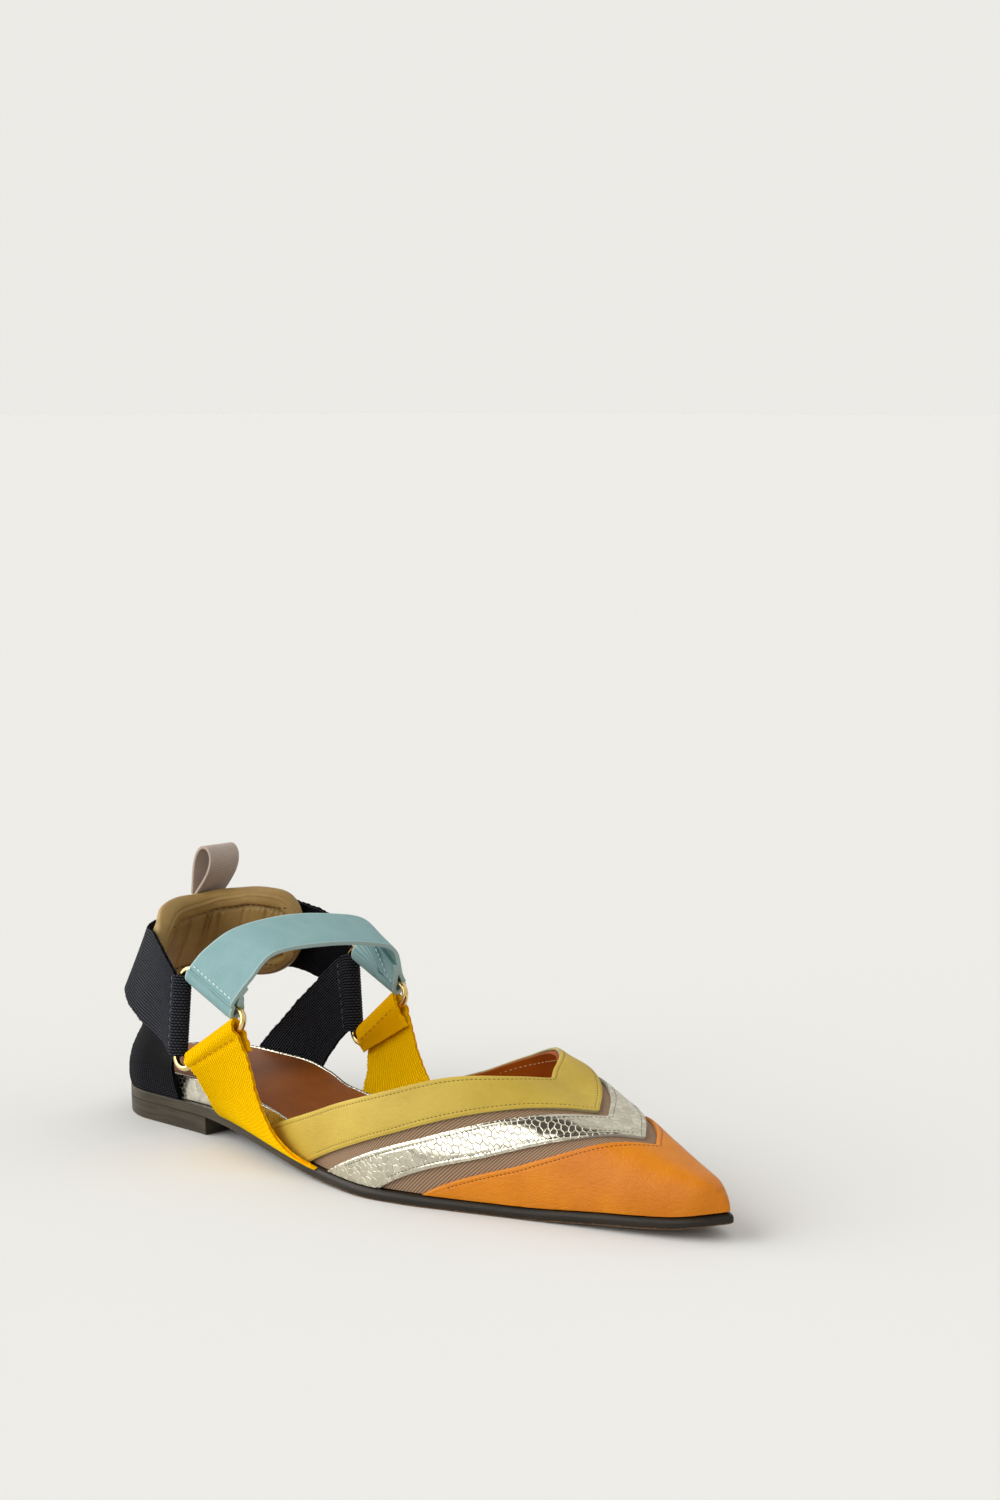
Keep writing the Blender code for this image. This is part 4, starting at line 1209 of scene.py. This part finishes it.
def slab(name, layers, spine, skin):
    """Slab from rings of outline at rising heights, closed to a spine at its bottom and top.

    layers: outline (points x y), height over x, and the profile's own measure at that ring.
    spine: first and last station of the line that the bottom and top faces run in to.
    """
    rows, measure = [], []

    def row(edge, share, height, at):
        x = np.clip(edge[:, 0], *spine)
        low, high = outline(x, 0.0, 0.0, LENGTH)
        middle = np.stack([x, (low + high) / 2], axis=1)
        here = middle + (edge - middle) * share
        rows.append(np.column_stack([here, height(here[:, 0])]))
        measure.append(at)

    edge, height, at = layers[0]
    for share in np.linspace(0, 1, CLOSING_ROWS)[:-1]:
        row(edge, share, height, at - SPREAD * (1 - share))
    for edge, height, at in layers:
        row(edge, 1.0, height, at)
    for share in np.linspace(1, 0, CLOSING_ROWS)[1:]:
        row(edge, share, height, at + SPREAD * (1 - share))
    around = run_of(layers[len(layers) // 2][0])
    uv = np.stack(np.broadcast_arrays(around[None, :], np.array(measure)[:, None]), axis=-1)
    piece = sheet(name, np.array(rows), uv, skin)
    merge(piece, distance=0.02)
    return piece


def rounding(share):
    """How far a quarter round is drawn in, over the share of its height."""
    return 1 - np.sqrt(1 - np.clip(share, 0, 1) ** 2)


def sole_inset(x, up):
    """Draws in the sole's edge: plainly cut at the heel and waist, with a round shoulder at the forefoot."""
    plain = EDGE_ROUND * rounding((abs(up - SOLE_THICK / 2) - SOLE_THICK / 2 + EDGE_ROUND) / EDGE_ROUND)
    full, more = SHOULDER_FULL
    shoulder = SOLE_SHOULDER * rounding((up - SOLE_THICK + SOLE_SHOULDER) / SOLE_SHOULDER)
    shoulder = (shoulder + SOLE_WORN * rounding(1 - up / SOLE_WORN)) * (full + more * step(x, *TOE_WORN))
    return plain + (shoulder - plain) * step(x, *SHOULDER_STRETCH)


def make_outsole():
    ups = np.concatenate([SOLE_WORN * (1 - np.cos(np.linspace(0, np.pi / 2, 7))), [EDGE_MIDDLE],
                          SOLE_THICK - SOLE_SHOULDER * (1 - np.sin(np.linspace(0, np.pi / 2, 9)))])
    layers = []
    for up in ups:
        back, tip = float(sole_inset(0.0, up)), LENGTH - float(sole_inset(LENGTH, up))
        edge = sole_edge(lambda x, up=up: sole_inset(x, up), back, tip)
        layers.append((edge, lambda x, up=up: underside(x) + up, up))
    finish(slab("outsole_shaped", layers, SPINES["outsole"], "sole"), "outsole", angle=60.0)


def make_heel():
    thick = HEEL_HEIGHT - HEEL_SEAM
    turns = np.linspace(0, np.pi / 2, 4)
    ups = [(HEEL_EDGE * (1 - np.sin(a)), HEEL_EDGE * (1 - np.cos(a))) for a in turns] + [(0.0, thick)]
    layers = [(heel_edge(inset + HEEL_TAPER * (1 - up / thick)), lambda x, up=up: 0 * x + up, up)
              for inset, up in ups]
    finish(slab("heel_shaped", layers, SPINES["heel"], "heel"), "heel")


def make_footbed():
    """Wrapped footbed with a rolled lip that stands round the sock and runs out flat under the vamp."""
    profile = [(0.0, LIP_RISE - LIP_HALF)]
    for a in np.linspace(0, np.pi, 9)[1:]:
        profile.append((LIP_HALF * (1 - np.cos(a)), LIP_RISE - LIP_HALF * (1 - np.sin(a))))
    profile.append((2 * LIP_HALF, LIP_FOOT))
    layers = [(bed_edge(0.0), lambda x: outsole_top(x) + GAP, 0.0)]
    for inset, up in profile:
        layers.append((bed_edge(inset), lambda x, up=up: footbed_top(x) + up * (1 - step(x, *LIP_END)),
                       FOOTBED["thick"][0] + up + inset))
    piece = slab("footbed_wrapped", layers, SPINES["footbed"], "silver_footbed")
    finish(piece, "footbed")


def make_sock():
    layers = []
    for a in np.linspace(0, np.pi, 9):
        inset, up = SOCK_INSET + SOCK_THICK / 2 * (1 - np.sin(a)), SOCK_THICK / 2 * (1 - np.cos(a))
        layers.append((bed_edge(inset), lambda x, up=up: footbed_top(x) + GAP + up, up))
    finish(slab("sock_cover", layers, SPINES["sock"], "sock_leather"), "sock_lining")


def make_lip_stitches():
    """Stitches on the silver lip beside the sock."""
    inset, below = LIP_STITCHES
    edge = bed_edge(inset)
    edge = edge[edge[:, 0] < LIP_STITCHES_END]
    path = np.column_stack([edge, footbed_top(edge[:, 0]) + LIP_RISE - below])
    start = np.argmax(np.linalg.norm(np.diff(path, axis=0), axis=1)) + 1
    path = np.concatenate([path[start:], path[:start]])
    out = np.tile([0.0, 0.0, 1.0], (len(path), 1))
    seam("lip_stitches", path, out, "silver_leather", "dark_thread", pitch=2.4, length=1.5, thick=0.5)


# Upper

def column_shares():
    """Columns over the section, closer where it bends at the ridge."""
    even_share = np.linspace(-1, 1, UPPER_COLUMNS + 1)
    return np.sign(even_share) * abs(even_share) ** COLUMN_CROWDING


def edge_distance(points, end):
    """Distance of a panel's points from its first (0) or last (-1) edge, square to that edge."""
    run = run_of(points)
    if end:
        run = run[-1] - run
    edge = np.gradient(points[end], axis=0)
    column = points[1] - points[0] if end == 0 else points[-2] - points[-1]
    square = np.linalg.norm(np.cross(edge, column), axis=1)
    square /= np.linalg.norm(edge, axis=1) * np.maximum(np.linalg.norm(column, axis=1), 1e-9)
    return run * np.clip(square, SLANT_LEAST, 1)


def round_section(x, depth):
    """Distance of the upper's points from the ridge, round the section at each point's own station."""
    stations = np.linspace(x.min(), x.max(), SECTION_STATIONS)
    share = column_shares()[:, None]
    section = vamp_point(*np.broadcast_arrays(stations[None, :], share), depth)
    run = run_of(section)
    run = run - run[UPPER_COLUMNS // 2]
    return np.stack([np.interp(column, stations, run[i]) for i, column in enumerate(x.T)], axis=1)


def away_from_foot(points):
    """Normals of the upper's points, pointing out."""
    out = normals(points)
    return out * np.sign((out * (points - [points[:, :, 0].mean(), 0.0, UPPER_CORE])).sum())


def upper_sheet(first, last, rows, depth, relief=None):
    """Points and flat places of the upper between two of its lines, with a relief along its normals."""
    share = column_shares()
    start = upper_line(first, share)
    end = np.full_like(share, LENGTH - VAMP_INSET - depth) if last == "tip" else upper_line(last, share)
    part = (1 - np.cos(np.linspace(0, np.pi, rows))) / 2
    x = start + (end - start) * part[:, None]
    share = np.broadcast_to(share, x.shape)
    points = vamp_point(x, share, depth)
    uv = np.stack([round_section(x, depth), x], axis=-1)
    if relief is not None:
        points = points + away_from_foot(points) * relief(points, share)[:, :, None]
    return facing_out(points, uv, np.array([x.mean(), 0.0, 0.0]))


def groove(distance, at, width, depth):
    return -depth * np.exp(-((distance - at) / width) ** 2)


def edge_relief(points, end):
    """Stitch channel beside one of a panel's edges, and the soft rounding towards it."""
    distance = edge_distance(points, end)
    return groove(distance, STITCH_LINE, *STITCH_CHANNEL) + groove(distance, 0.0, *EDGE_ROLL)


def band_relief(points, share):
    """Stitch channels near a band's two edges, and a soft crown between them."""
    return edge_relief(points, 0) + edge_relief(points, -1) + BAND_CROWN


def toe_relief(points, share):
    """Stitch channel under the panel's upper edge, and the soft creases of the lasted leather."""
    lift = edge_relief(points, 0)
    x, z = points[:, :, 0], points[:, :, 2]
    side = np.where(share < 0, 1.0, INNER_RELIEF)
    for at, lean, reach, depth in LASTING_CREASES:
        fade = np.clip(1 - (z - CREASE_FOOT) / reach, 0, 1) ** CREASE_FADE
        lift = lift + groove(x, at + lean * (z - CREASE_PLACE), CREASE_WIDTH, depth) * fade * side
    for at, height, long, tall, depth in TOE_DENTS:
        lift = lift - depth * np.exp(-((x - at) / long) ** 2 - ((z - height) / tall) ** 2) * side
    return lift


def close_tip(piece):
    """Joins the points that meet at the toe's tip."""
    edit(piece, lambda: bpy.ops.mesh.remove_doubles(threshold=0.01 * MM))


def make_vamp():
    points, uv = upper_sheet("topline", "tip", LONG_ROWS, OVERLAY + GAP)
    piece = sheet("vamp_mesh", points, uv, "mesh", "lining_leather", "lining_leather")
    close_tip(piece)
    wall(piece, WALL, back=1, rim=2)
    finish(piece, "vamp")
    line = upper_line("topline", column_shares()) + LINING_SEAM
    inner, deeper = (vamp_point(line, column_shares(), OVERLAY + GAP + WALL + more) for more in (0.0, 1.0))
    keep = slice(6, -6)
    seam("lining_stitches", inner[keep], (deeper - inner)[keep], "mesh", "tan_thread", pitch=2.2, length=1.5)


def stitch_line(grid, distance, end):
    """Values of a grid on the stitch line beside one of a panel's edges."""
    order = slice(None) if end == 0 else slice(None, None, -1)
    return [[np.interp(STITCH_LINE, distance[order, i], grid[order, i, k]) for k in range(3)]
            for i in range(3, grid.shape[1] - 3)]


def make_panel(node, lines, rows, relief, slot, skin, edge, ends, stitches):
    """Leather panel on the vamp with a raw edge, and a row of stitches beside each of the named ends."""
    points, uv = upper_sheet(*lines, rows, 0.0, relief)
    piece = sheet(node + "_leather", points, uv, skin, edge)
    close_tip(piece)
    wall(piece, OVERLAY, back=1, rim=1)
    soften(piece, width=0.2)
    finish(piece, node)
    out = away_from_foot(points)
    for end in ends:
        distance = edge_distance(points, end)
        name = f"{node}_{'upper' if end == 0 else 'lower'}_stitches"
        path, up = (stitch_line(grid, distance, end) for grid in (points, out))
        seam(name, path, up, slot, stitches, pitch=1.4, length=1.0)


# Straps

def ribbon_uv(grid, width):
    u = np.linspace(0, width, grid.shape[1])
    return np.stack(np.broadcast_arrays(u[None, :], run_along(grid)[:, None]), axis=-1)


def frayed(grid, amount, seed):
    """Wavers a ribbon's selvedges by a little, along its own width."""
    draw = np.random.default_rng(seed)
    run = run_along(grid)
    share = np.linspace(-1, 1, grid.shape[1])
    line = unit(grid[:, -1] - grid[:, 0])
    out = grid.copy()
    for side in (-1, 1):
        phase = draw.uniform(0, 2 * np.pi, 3)
        wave = sum(size * np.sin(run * 2 * np.pi / long + start)
                   for (long, size), start in zip(SELVEDGE_WAVES, phase))
        weight = np.clip(side * share, 0, 1) ** 6
        out += line[:, None] * (wave[:, None] * weight * amount)[:, :, None]
    return out


def webbing_relief(grid, bars, side):
    """Ridges along the webbing, and the sewn trough beside each bar on one side of it."""
    columns = grid.shape[1]
    ridge = np.sin(np.pi * (np.arange(columns) % RIDGE_COLUMNS) / RIDGE_COLUMNS) ** FULLNESS * RIDGE_HEIGHT
    run = run_along(grid)
    lift = ridge[None, :]
    for bar, turn in zip(bars, side):
        trough = groove(run, bar + turn * SEWN, *SEWN_TROUGH)
        swell = -groove(run, bar + turn * SWELL_PLACE, *SEWN_SWELL)
        lift = lift + (trough + swell)[:, None]
    return lift


def crosswise_ribs(grid):
    return np.sin(np.pi * (np.arange(len(grid)) % RIB_ROWS) / RIB_ROWS)[:, None]


def strap_piece(name, node, grid, width, lift, skin, thick=WEBBING, edge=0.3):
    """Ribbon of even thickness over a grid of its middle, with a relief on its outer face."""
    points = grid + normals(grid) * (thick / 2 + lift)[:, :, None]
    piece = sheet(name, points, ribbon_uv(grid, width), skin)
    edit(piece, bpy.ops.mesh.flip_normals)
    wall(piece, thick)
    soften(piece, edge, angle=75.0)
    finish(piece, node, angle=60.0)


def cross_seam(name, grid, at, ends, face, slot, skin, **sizes):
    """Stitches across a ribbon at a distance along it, on its outer (1) or inner (-1) face."""
    row = np.abs(run_along(grid) - at).argmin()
    out = normals(grid)[row] * face
    path = grid[row] + out * (WEBBING / 2 + SEAM_LIFT)
    first, last = (int(e * (len(path) - 1)) for e in ends)
    seam(name, path[first:last + 1], out[first:last + 1], slot, skin, **sizes)


def sewn_ends(node, grid, bars, reach, *look, **sizes):
    """Seams across a ribbon on both sides of its folds round the outer and the inner ring."""
    for name, bar, turn in zip(("lateral", "medial"), bars, (1, -1)):
        cross_seam(f"{node}_{name}_stitches", grid, bar + turn * reach, *look, **sizes)
        cross_seam(f"{node}_{name}_inner_stitches", grid, bar - turn * reach, *look, **sizes)


def make_heel_strap():
    grid, bars = heel_strap_rows(RIDGES * RIDGE_COLUMNS)
    grid = frayed(resample(grid, ROW_STEP), NAVY_FRAY, seed=3)
    lift = webbing_relief(grid, bars, (1, -1))
    strap_piece("heel_strap_webbing", "heel_strap", grid, NAVY_WIDTH, lift, "navy_webbing")
    sewn_ends("heel_strap", grid, bars, SEWN, (0.05, 0.95), 1, "navy_webbing", "navy_thread",
              pitch=2.6, length=1.8)


def make_forefoot_strap(name, node):
    grid, bar = forefoot_strap_rows(name, RIDGES * RIDGE_COLUMNS)
    grid = frayed(resample(grid, ROW_STEP / 2), YELLOW_FRAY, seed=5)
    lift = webbing_relief(grid, [bar], [1])
    strap_piece(node + "_webbing", node, grid, YELLOW_WIDTH, lift, "yellow_webbing")
    outside, inside = YELLOW_NEARER
    for part, at, face in (("", bar + SEWN - outside, 1), ("_inner", bar - SEWN + inside, -1)):
        cross_seam(f"{node}{part}_stitches", grid, at, (0.06, 0.94), face, "yellow_webbing", "yellow_thread",
                   pitch=2.4, length=1.7)


def make_instep_strap():
    grid, bars = instep_strap_rows(BLUE_COLUMNS)
    grid = resample(grid, BLUE_RIB / RIB_ROWS)
    share = np.linspace(-1, 1, grid.shape[1])
    selvedge = -groove(abs(share), *BLUE_SELVEDGE, 1.0)
    lift = BLUE_LIFT * crosswise_ribs(grid) * (1 - selvedge) + SELVEDGE_LIFT * selvedge
    strap_piece("instep_strap_elastic", "instep_strap", grid, BLUE_WIDTH, lift,
                "blue_elastic")
    sewn_ends("instep_strap", grid, bars, BLUE_SEWN, (0.08, 0.97), -1, "blue_elastic", "pale_blue_thread",
              pitch=2.2, length=1.6, thick=0.5)


def make_pull_loop():
    grid = resample(pull_loop_rows(LOOP_COLUMNS), LOOP_RIB / RIB_ROWS)
    lift = np.broadcast_to(LOOP_LIFT * crosswise_ribs(grid), grid.shape[:2])
    strap_piece("pull_loop_ribbon", "pull_loop", grid, LOOP_WIDTH, lift, "loop_grosgrain",
                LOOP_RIBBON)


def make_ring(name):
    """Torus drawn out along the ring's bent wire."""
    path = rings[name].wire(*RING_STEPS)
    plane = rings[name].outward
    bpy.ops.object.select_all(action="DESELECT")
    bpy.ops.mesh.primitive_torus_add(major_segments=len(path), minor_segments=WIRE_SIDES)
    piece = bpy.context.object
    piece.name = piece.data.name = name + "_wire"
    out = np.cross(unit(np.roll(path, -1, axis=0) - np.roll(path, 1, axis=0)), plane)
    spin = np.arange(WIRE_SIDES)[:, None] * 2 * np.pi / WIRE_SIDES
    points = path[:, None] + WIRE / 2 * (np.cos(spin) * out[:, None] + np.sin(spin) * plane)
    piece.data.vertices.foreach_set("co", metres(points).astype(np.float32).ravel())
    piece.data.update()
    piece.data.materials.append(skins["gold"])
    merge(piece)
    finish(piece, name)


# Heel pad

def pad_relief(from_edge, along, high):
    """Full rim, piping, sewn channel with puckers, and a flatter panel with soft upright wrinkles."""
    fall, drop = PAD_PANEL
    panel = step(from_edge, PAD_SEAM, PAD_SEAM + fall)
    relief = PAD_RIM * np.sin(np.pi * np.clip(from_edge / PAD_SEAM, 0, 1)) ** FULLNESS
    relief = relief + groove(from_edge, PAD_SEAM, *PAD_CHANNEL) - drop * panel
    outside, *size = PIPING_GROOVE
    relief = relief + groove(from_edge, PAD_PIPING - outside, *size)
    relief = relief - groove(from_edge, PAD_PIPING, *PIPING_BEAD)
    pucker = groove(from_edge, PAD_SEAM + PUCKER_PLACE, *PUCKER_SIZE)
    relief = relief - np.sin(along * 2 * np.pi / PAD_PUCKER) * pucker
    beside, swell = WRINKLE_SWELL
    least, rise = WRINKLE_FADE
    for at, lean, width, deep in PAD_WRINKLES:
        line = along - at * along[-1, 0] - lean * high
        crease = groove(line, 0.0, width, deep) - swell * groove(line, beside * width, width, deep)
        relief = relief + panel * crease * np.clip(least + high / rise, 0, 1)
    return relief


def close_ends():
    bpy.ops.mesh.select_all(action="DESELECT")
    bpy.ops.mesh.select_non_manifold()
    bpy.ops.mesh.fill_holes(sides=0)


def make_heel_pad():
    """Collar pad along the heel strap, with a row of stitches in each long channel."""
    first, last = PAD_STATIONS
    share = -np.cos(np.linspace(0, np.pi, PAD_LONG + 1))[1:-1]
    stations = first + (last - first) * (share + 1) / 2
    middle, up, inward, half = (np.array(values) for values in zip(*map(pad_frame, stations)))
    along = run_of(middle)[:, None]
    end = (1 - abs(share) ** PAD_END)[:, None] ** 0.5
    angle = np.linspace(0, 2 * np.pi, PAD_AROUND + 1)[None, :]
    bulge, rise = (np.sign(f(angle)) * abs(f(angle)) ** PAD_SQUARE for f in (np.cos, np.sin))
    high = rise * end * PAD_HEIGHT / 2
    from_edge = np.minimum(np.minimum(along, along[-1] - along), PAD_HEIGHT / 2 * end - abs(high))
    front = step(bulge, *PAD_FRONT)
    depth = WEBBING / 2 + GAP + PAD_THICK * (1 + bulge * end) / 2
    depth = depth + front * pad_relief(from_edge, along, high)
    strap_edge = (half - np.interp(stations, np.arange(len(UPPER_DROP)), UPPER_DROP))[:, None]
    over = step(high + PAD_LIFT - strap_edge, *PAD_OVER) * (1 - step(share, *PAD_OUTER))[:, None]
    slant = step(share, *PAD_INNER)[:, None] * (0.5 - high / PAD_HEIGHT)
    depth = depth - PAD_ROLL * over * (1 - front) + PAD_LEAN * slant
    ahead = unit(np.gradient(middle, axis=0))
    points = middle[:, None] + up[:, None] * (PAD_LIFT + high)[:, :, None]
    points = points + inward[:, None] * depth[:, :, None] - ahead[:, None] * (PAD_SLANT * slant)[:, :, None]
    uv = np.stack(np.broadcast_arrays(angle * 10, along), axis=-1)
    piece = sheet("heel_pad_cover", points, uv, "pad_leather")
    merge(piece, distance=0.02)
    edit(piece, close_ends, face_out)
    finish(piece, "heel_pad", angle=80.0)
    channel = PAD_HEIGHT / 2 - PAD_SEAM
    keep = (along[:, 0] > PAD_SEAM) & (along[:, 0] < along[-1, 0] - PAD_SEAM)
    facing = np.where(bulge > 0, high, np.inf)
    for name, level in (("upper", channel), ("lower", -channel)):
        column = np.abs(facing - level).argmin(axis=1)
        path = points[np.arange(len(points)), column][keep]
        seam(f"heel_pad_{name}_stitches", path, inward[keep], "pad_leather", "pad_thread",
             pitch=2.3, length=1.3, thick=0.45, sunk=-0.1)


# Pieces

make_outsole()
make_heel()
make_footbed()
make_sock()
make_lip_stitches()
make_vamp()
make_panel("toe_panel", ("toe_upper", "tip"), LONG_ROWS, toe_relief, "orange_leather", "orange_leather",
           "orange_edge", (0,), "rust_thread")
make_panel("silver_band", ("silver_upper", "silver_lower"), SILVER_ROWS, band_relief, "silver_leather",
           "silver_snake", "raw_edge", (0, -1), "grey_thread")
make_panel("topline_band", ("topline", "band_lower"), YELLOW_ROWS, band_relief, "yellow_leather",
           "yellow_leather", "yellow_edge", (0, -1), "olive_thread")
make_heel_strap()
make_forefoot_strap("ring_lateral", "forefoot_strap_lateral")
make_forefoot_strap("ring_medial", "forefoot_strap_medial")
make_instep_strap()
make_pull_loop()
make_ring("ring_lateral")
make_ring("ring_medial")
make_heel_pad()


# Stage, light and camera

def make_stage():
    bpy.ops.object.select_all(action="DESELECT")
    bpy.ops.mesh.primitive_plane_add(size=FLOOR_SIZE)
    floor = bpy.context.object
    floor.name = floor.data.name = "floor"
    material, tree, shader = new_material("floor_paper", Roughness=1.0, Specular_IOR_Level=0.0)
    bounced = source(tree, "LightPath", "Is Diffuse Ray")
    feed(shader["Base Color"], blend(tree, bounced, PAPER, PAPER_BOUNCE))
    floor.data.materials.append(material)


def make_light():
    """Soft studio: a wide softbox to the left of the camera, a darker ceiling and a pale surround."""
    world = bpy.data.worlds.new("studio")
    bpy.context.scene.world = world
    world.use_nodes = True
    tree = world.node_tree
    sky = tree.nodes["Background"]
    way = source(tree, "TexCoord", "Generated")

    def toward(direction):
        unit_direction = tuple(np.array(direction) / np.linalg.norm(direction))
        return way.vector("DOT_PRODUCT", unit_direction, key="Value")

    up = toward((0.0, 0.0, 1.0))
    ceiling = toward(CEILING).ramp(*CEILING_EDGE)
    level = up.ramp(*SKY_RISE, *SKY_LEVEL) * (1.0 - ceiling * CEILING_SHADE)
    facing = toward(SOFTBOX).math("MAXIMUM", 0.01)
    rise = up / facing
    aside = (toward(SOFTBOX_SIDE) / facing).math("ABSOLUTE")
    box = rise.ramp(*SOFTBOX_FOOT) * rise.ramp(*SOFTBOX_TOP, 1.0, 0.0) * aside.ramp(*SOFTBOX_ENDS, 1.0, 0.0)
    level = level + box * SOFTBOX_LEVEL
    feed(sky.inputs[0], combine("CombineColor", *(level * tint for tint in LIGHT_TINT)))
    seen = add(tree, "Background", {0: SURROUND})
    shaders = {1: Wire(tree, sky.outputs[0]), 2: Wire(tree, seen.outputs[0])}
    mix = add(tree, "MixShader", {0: source(tree, "LightPath", "Is Camera Ray"), **shaders})
    tree.links.new(mix.outputs[0], tree.nodes["World Output"].inputs[0])


def make_camera():
    lens = bpy.data.cameras.new("camera")
    lens.lens = LENS
    lens.clip_start = 0.01
    camera = bpy.data.objects.new("camera", lens)
    camera.location = metres(CAMERA_PLACE)
    camera.rotation_euler = (np.radians(90 - CAMERA_DOWN), 0.0, np.radians(CAMERA_TURN))
    bpy.context.scene.collection.objects.link(camera)
    bpy.context.scene.camera = camera
    bpy.context.scene.view_settings.view_transform = "Standard"


make_stage()
make_light()
make_camera()
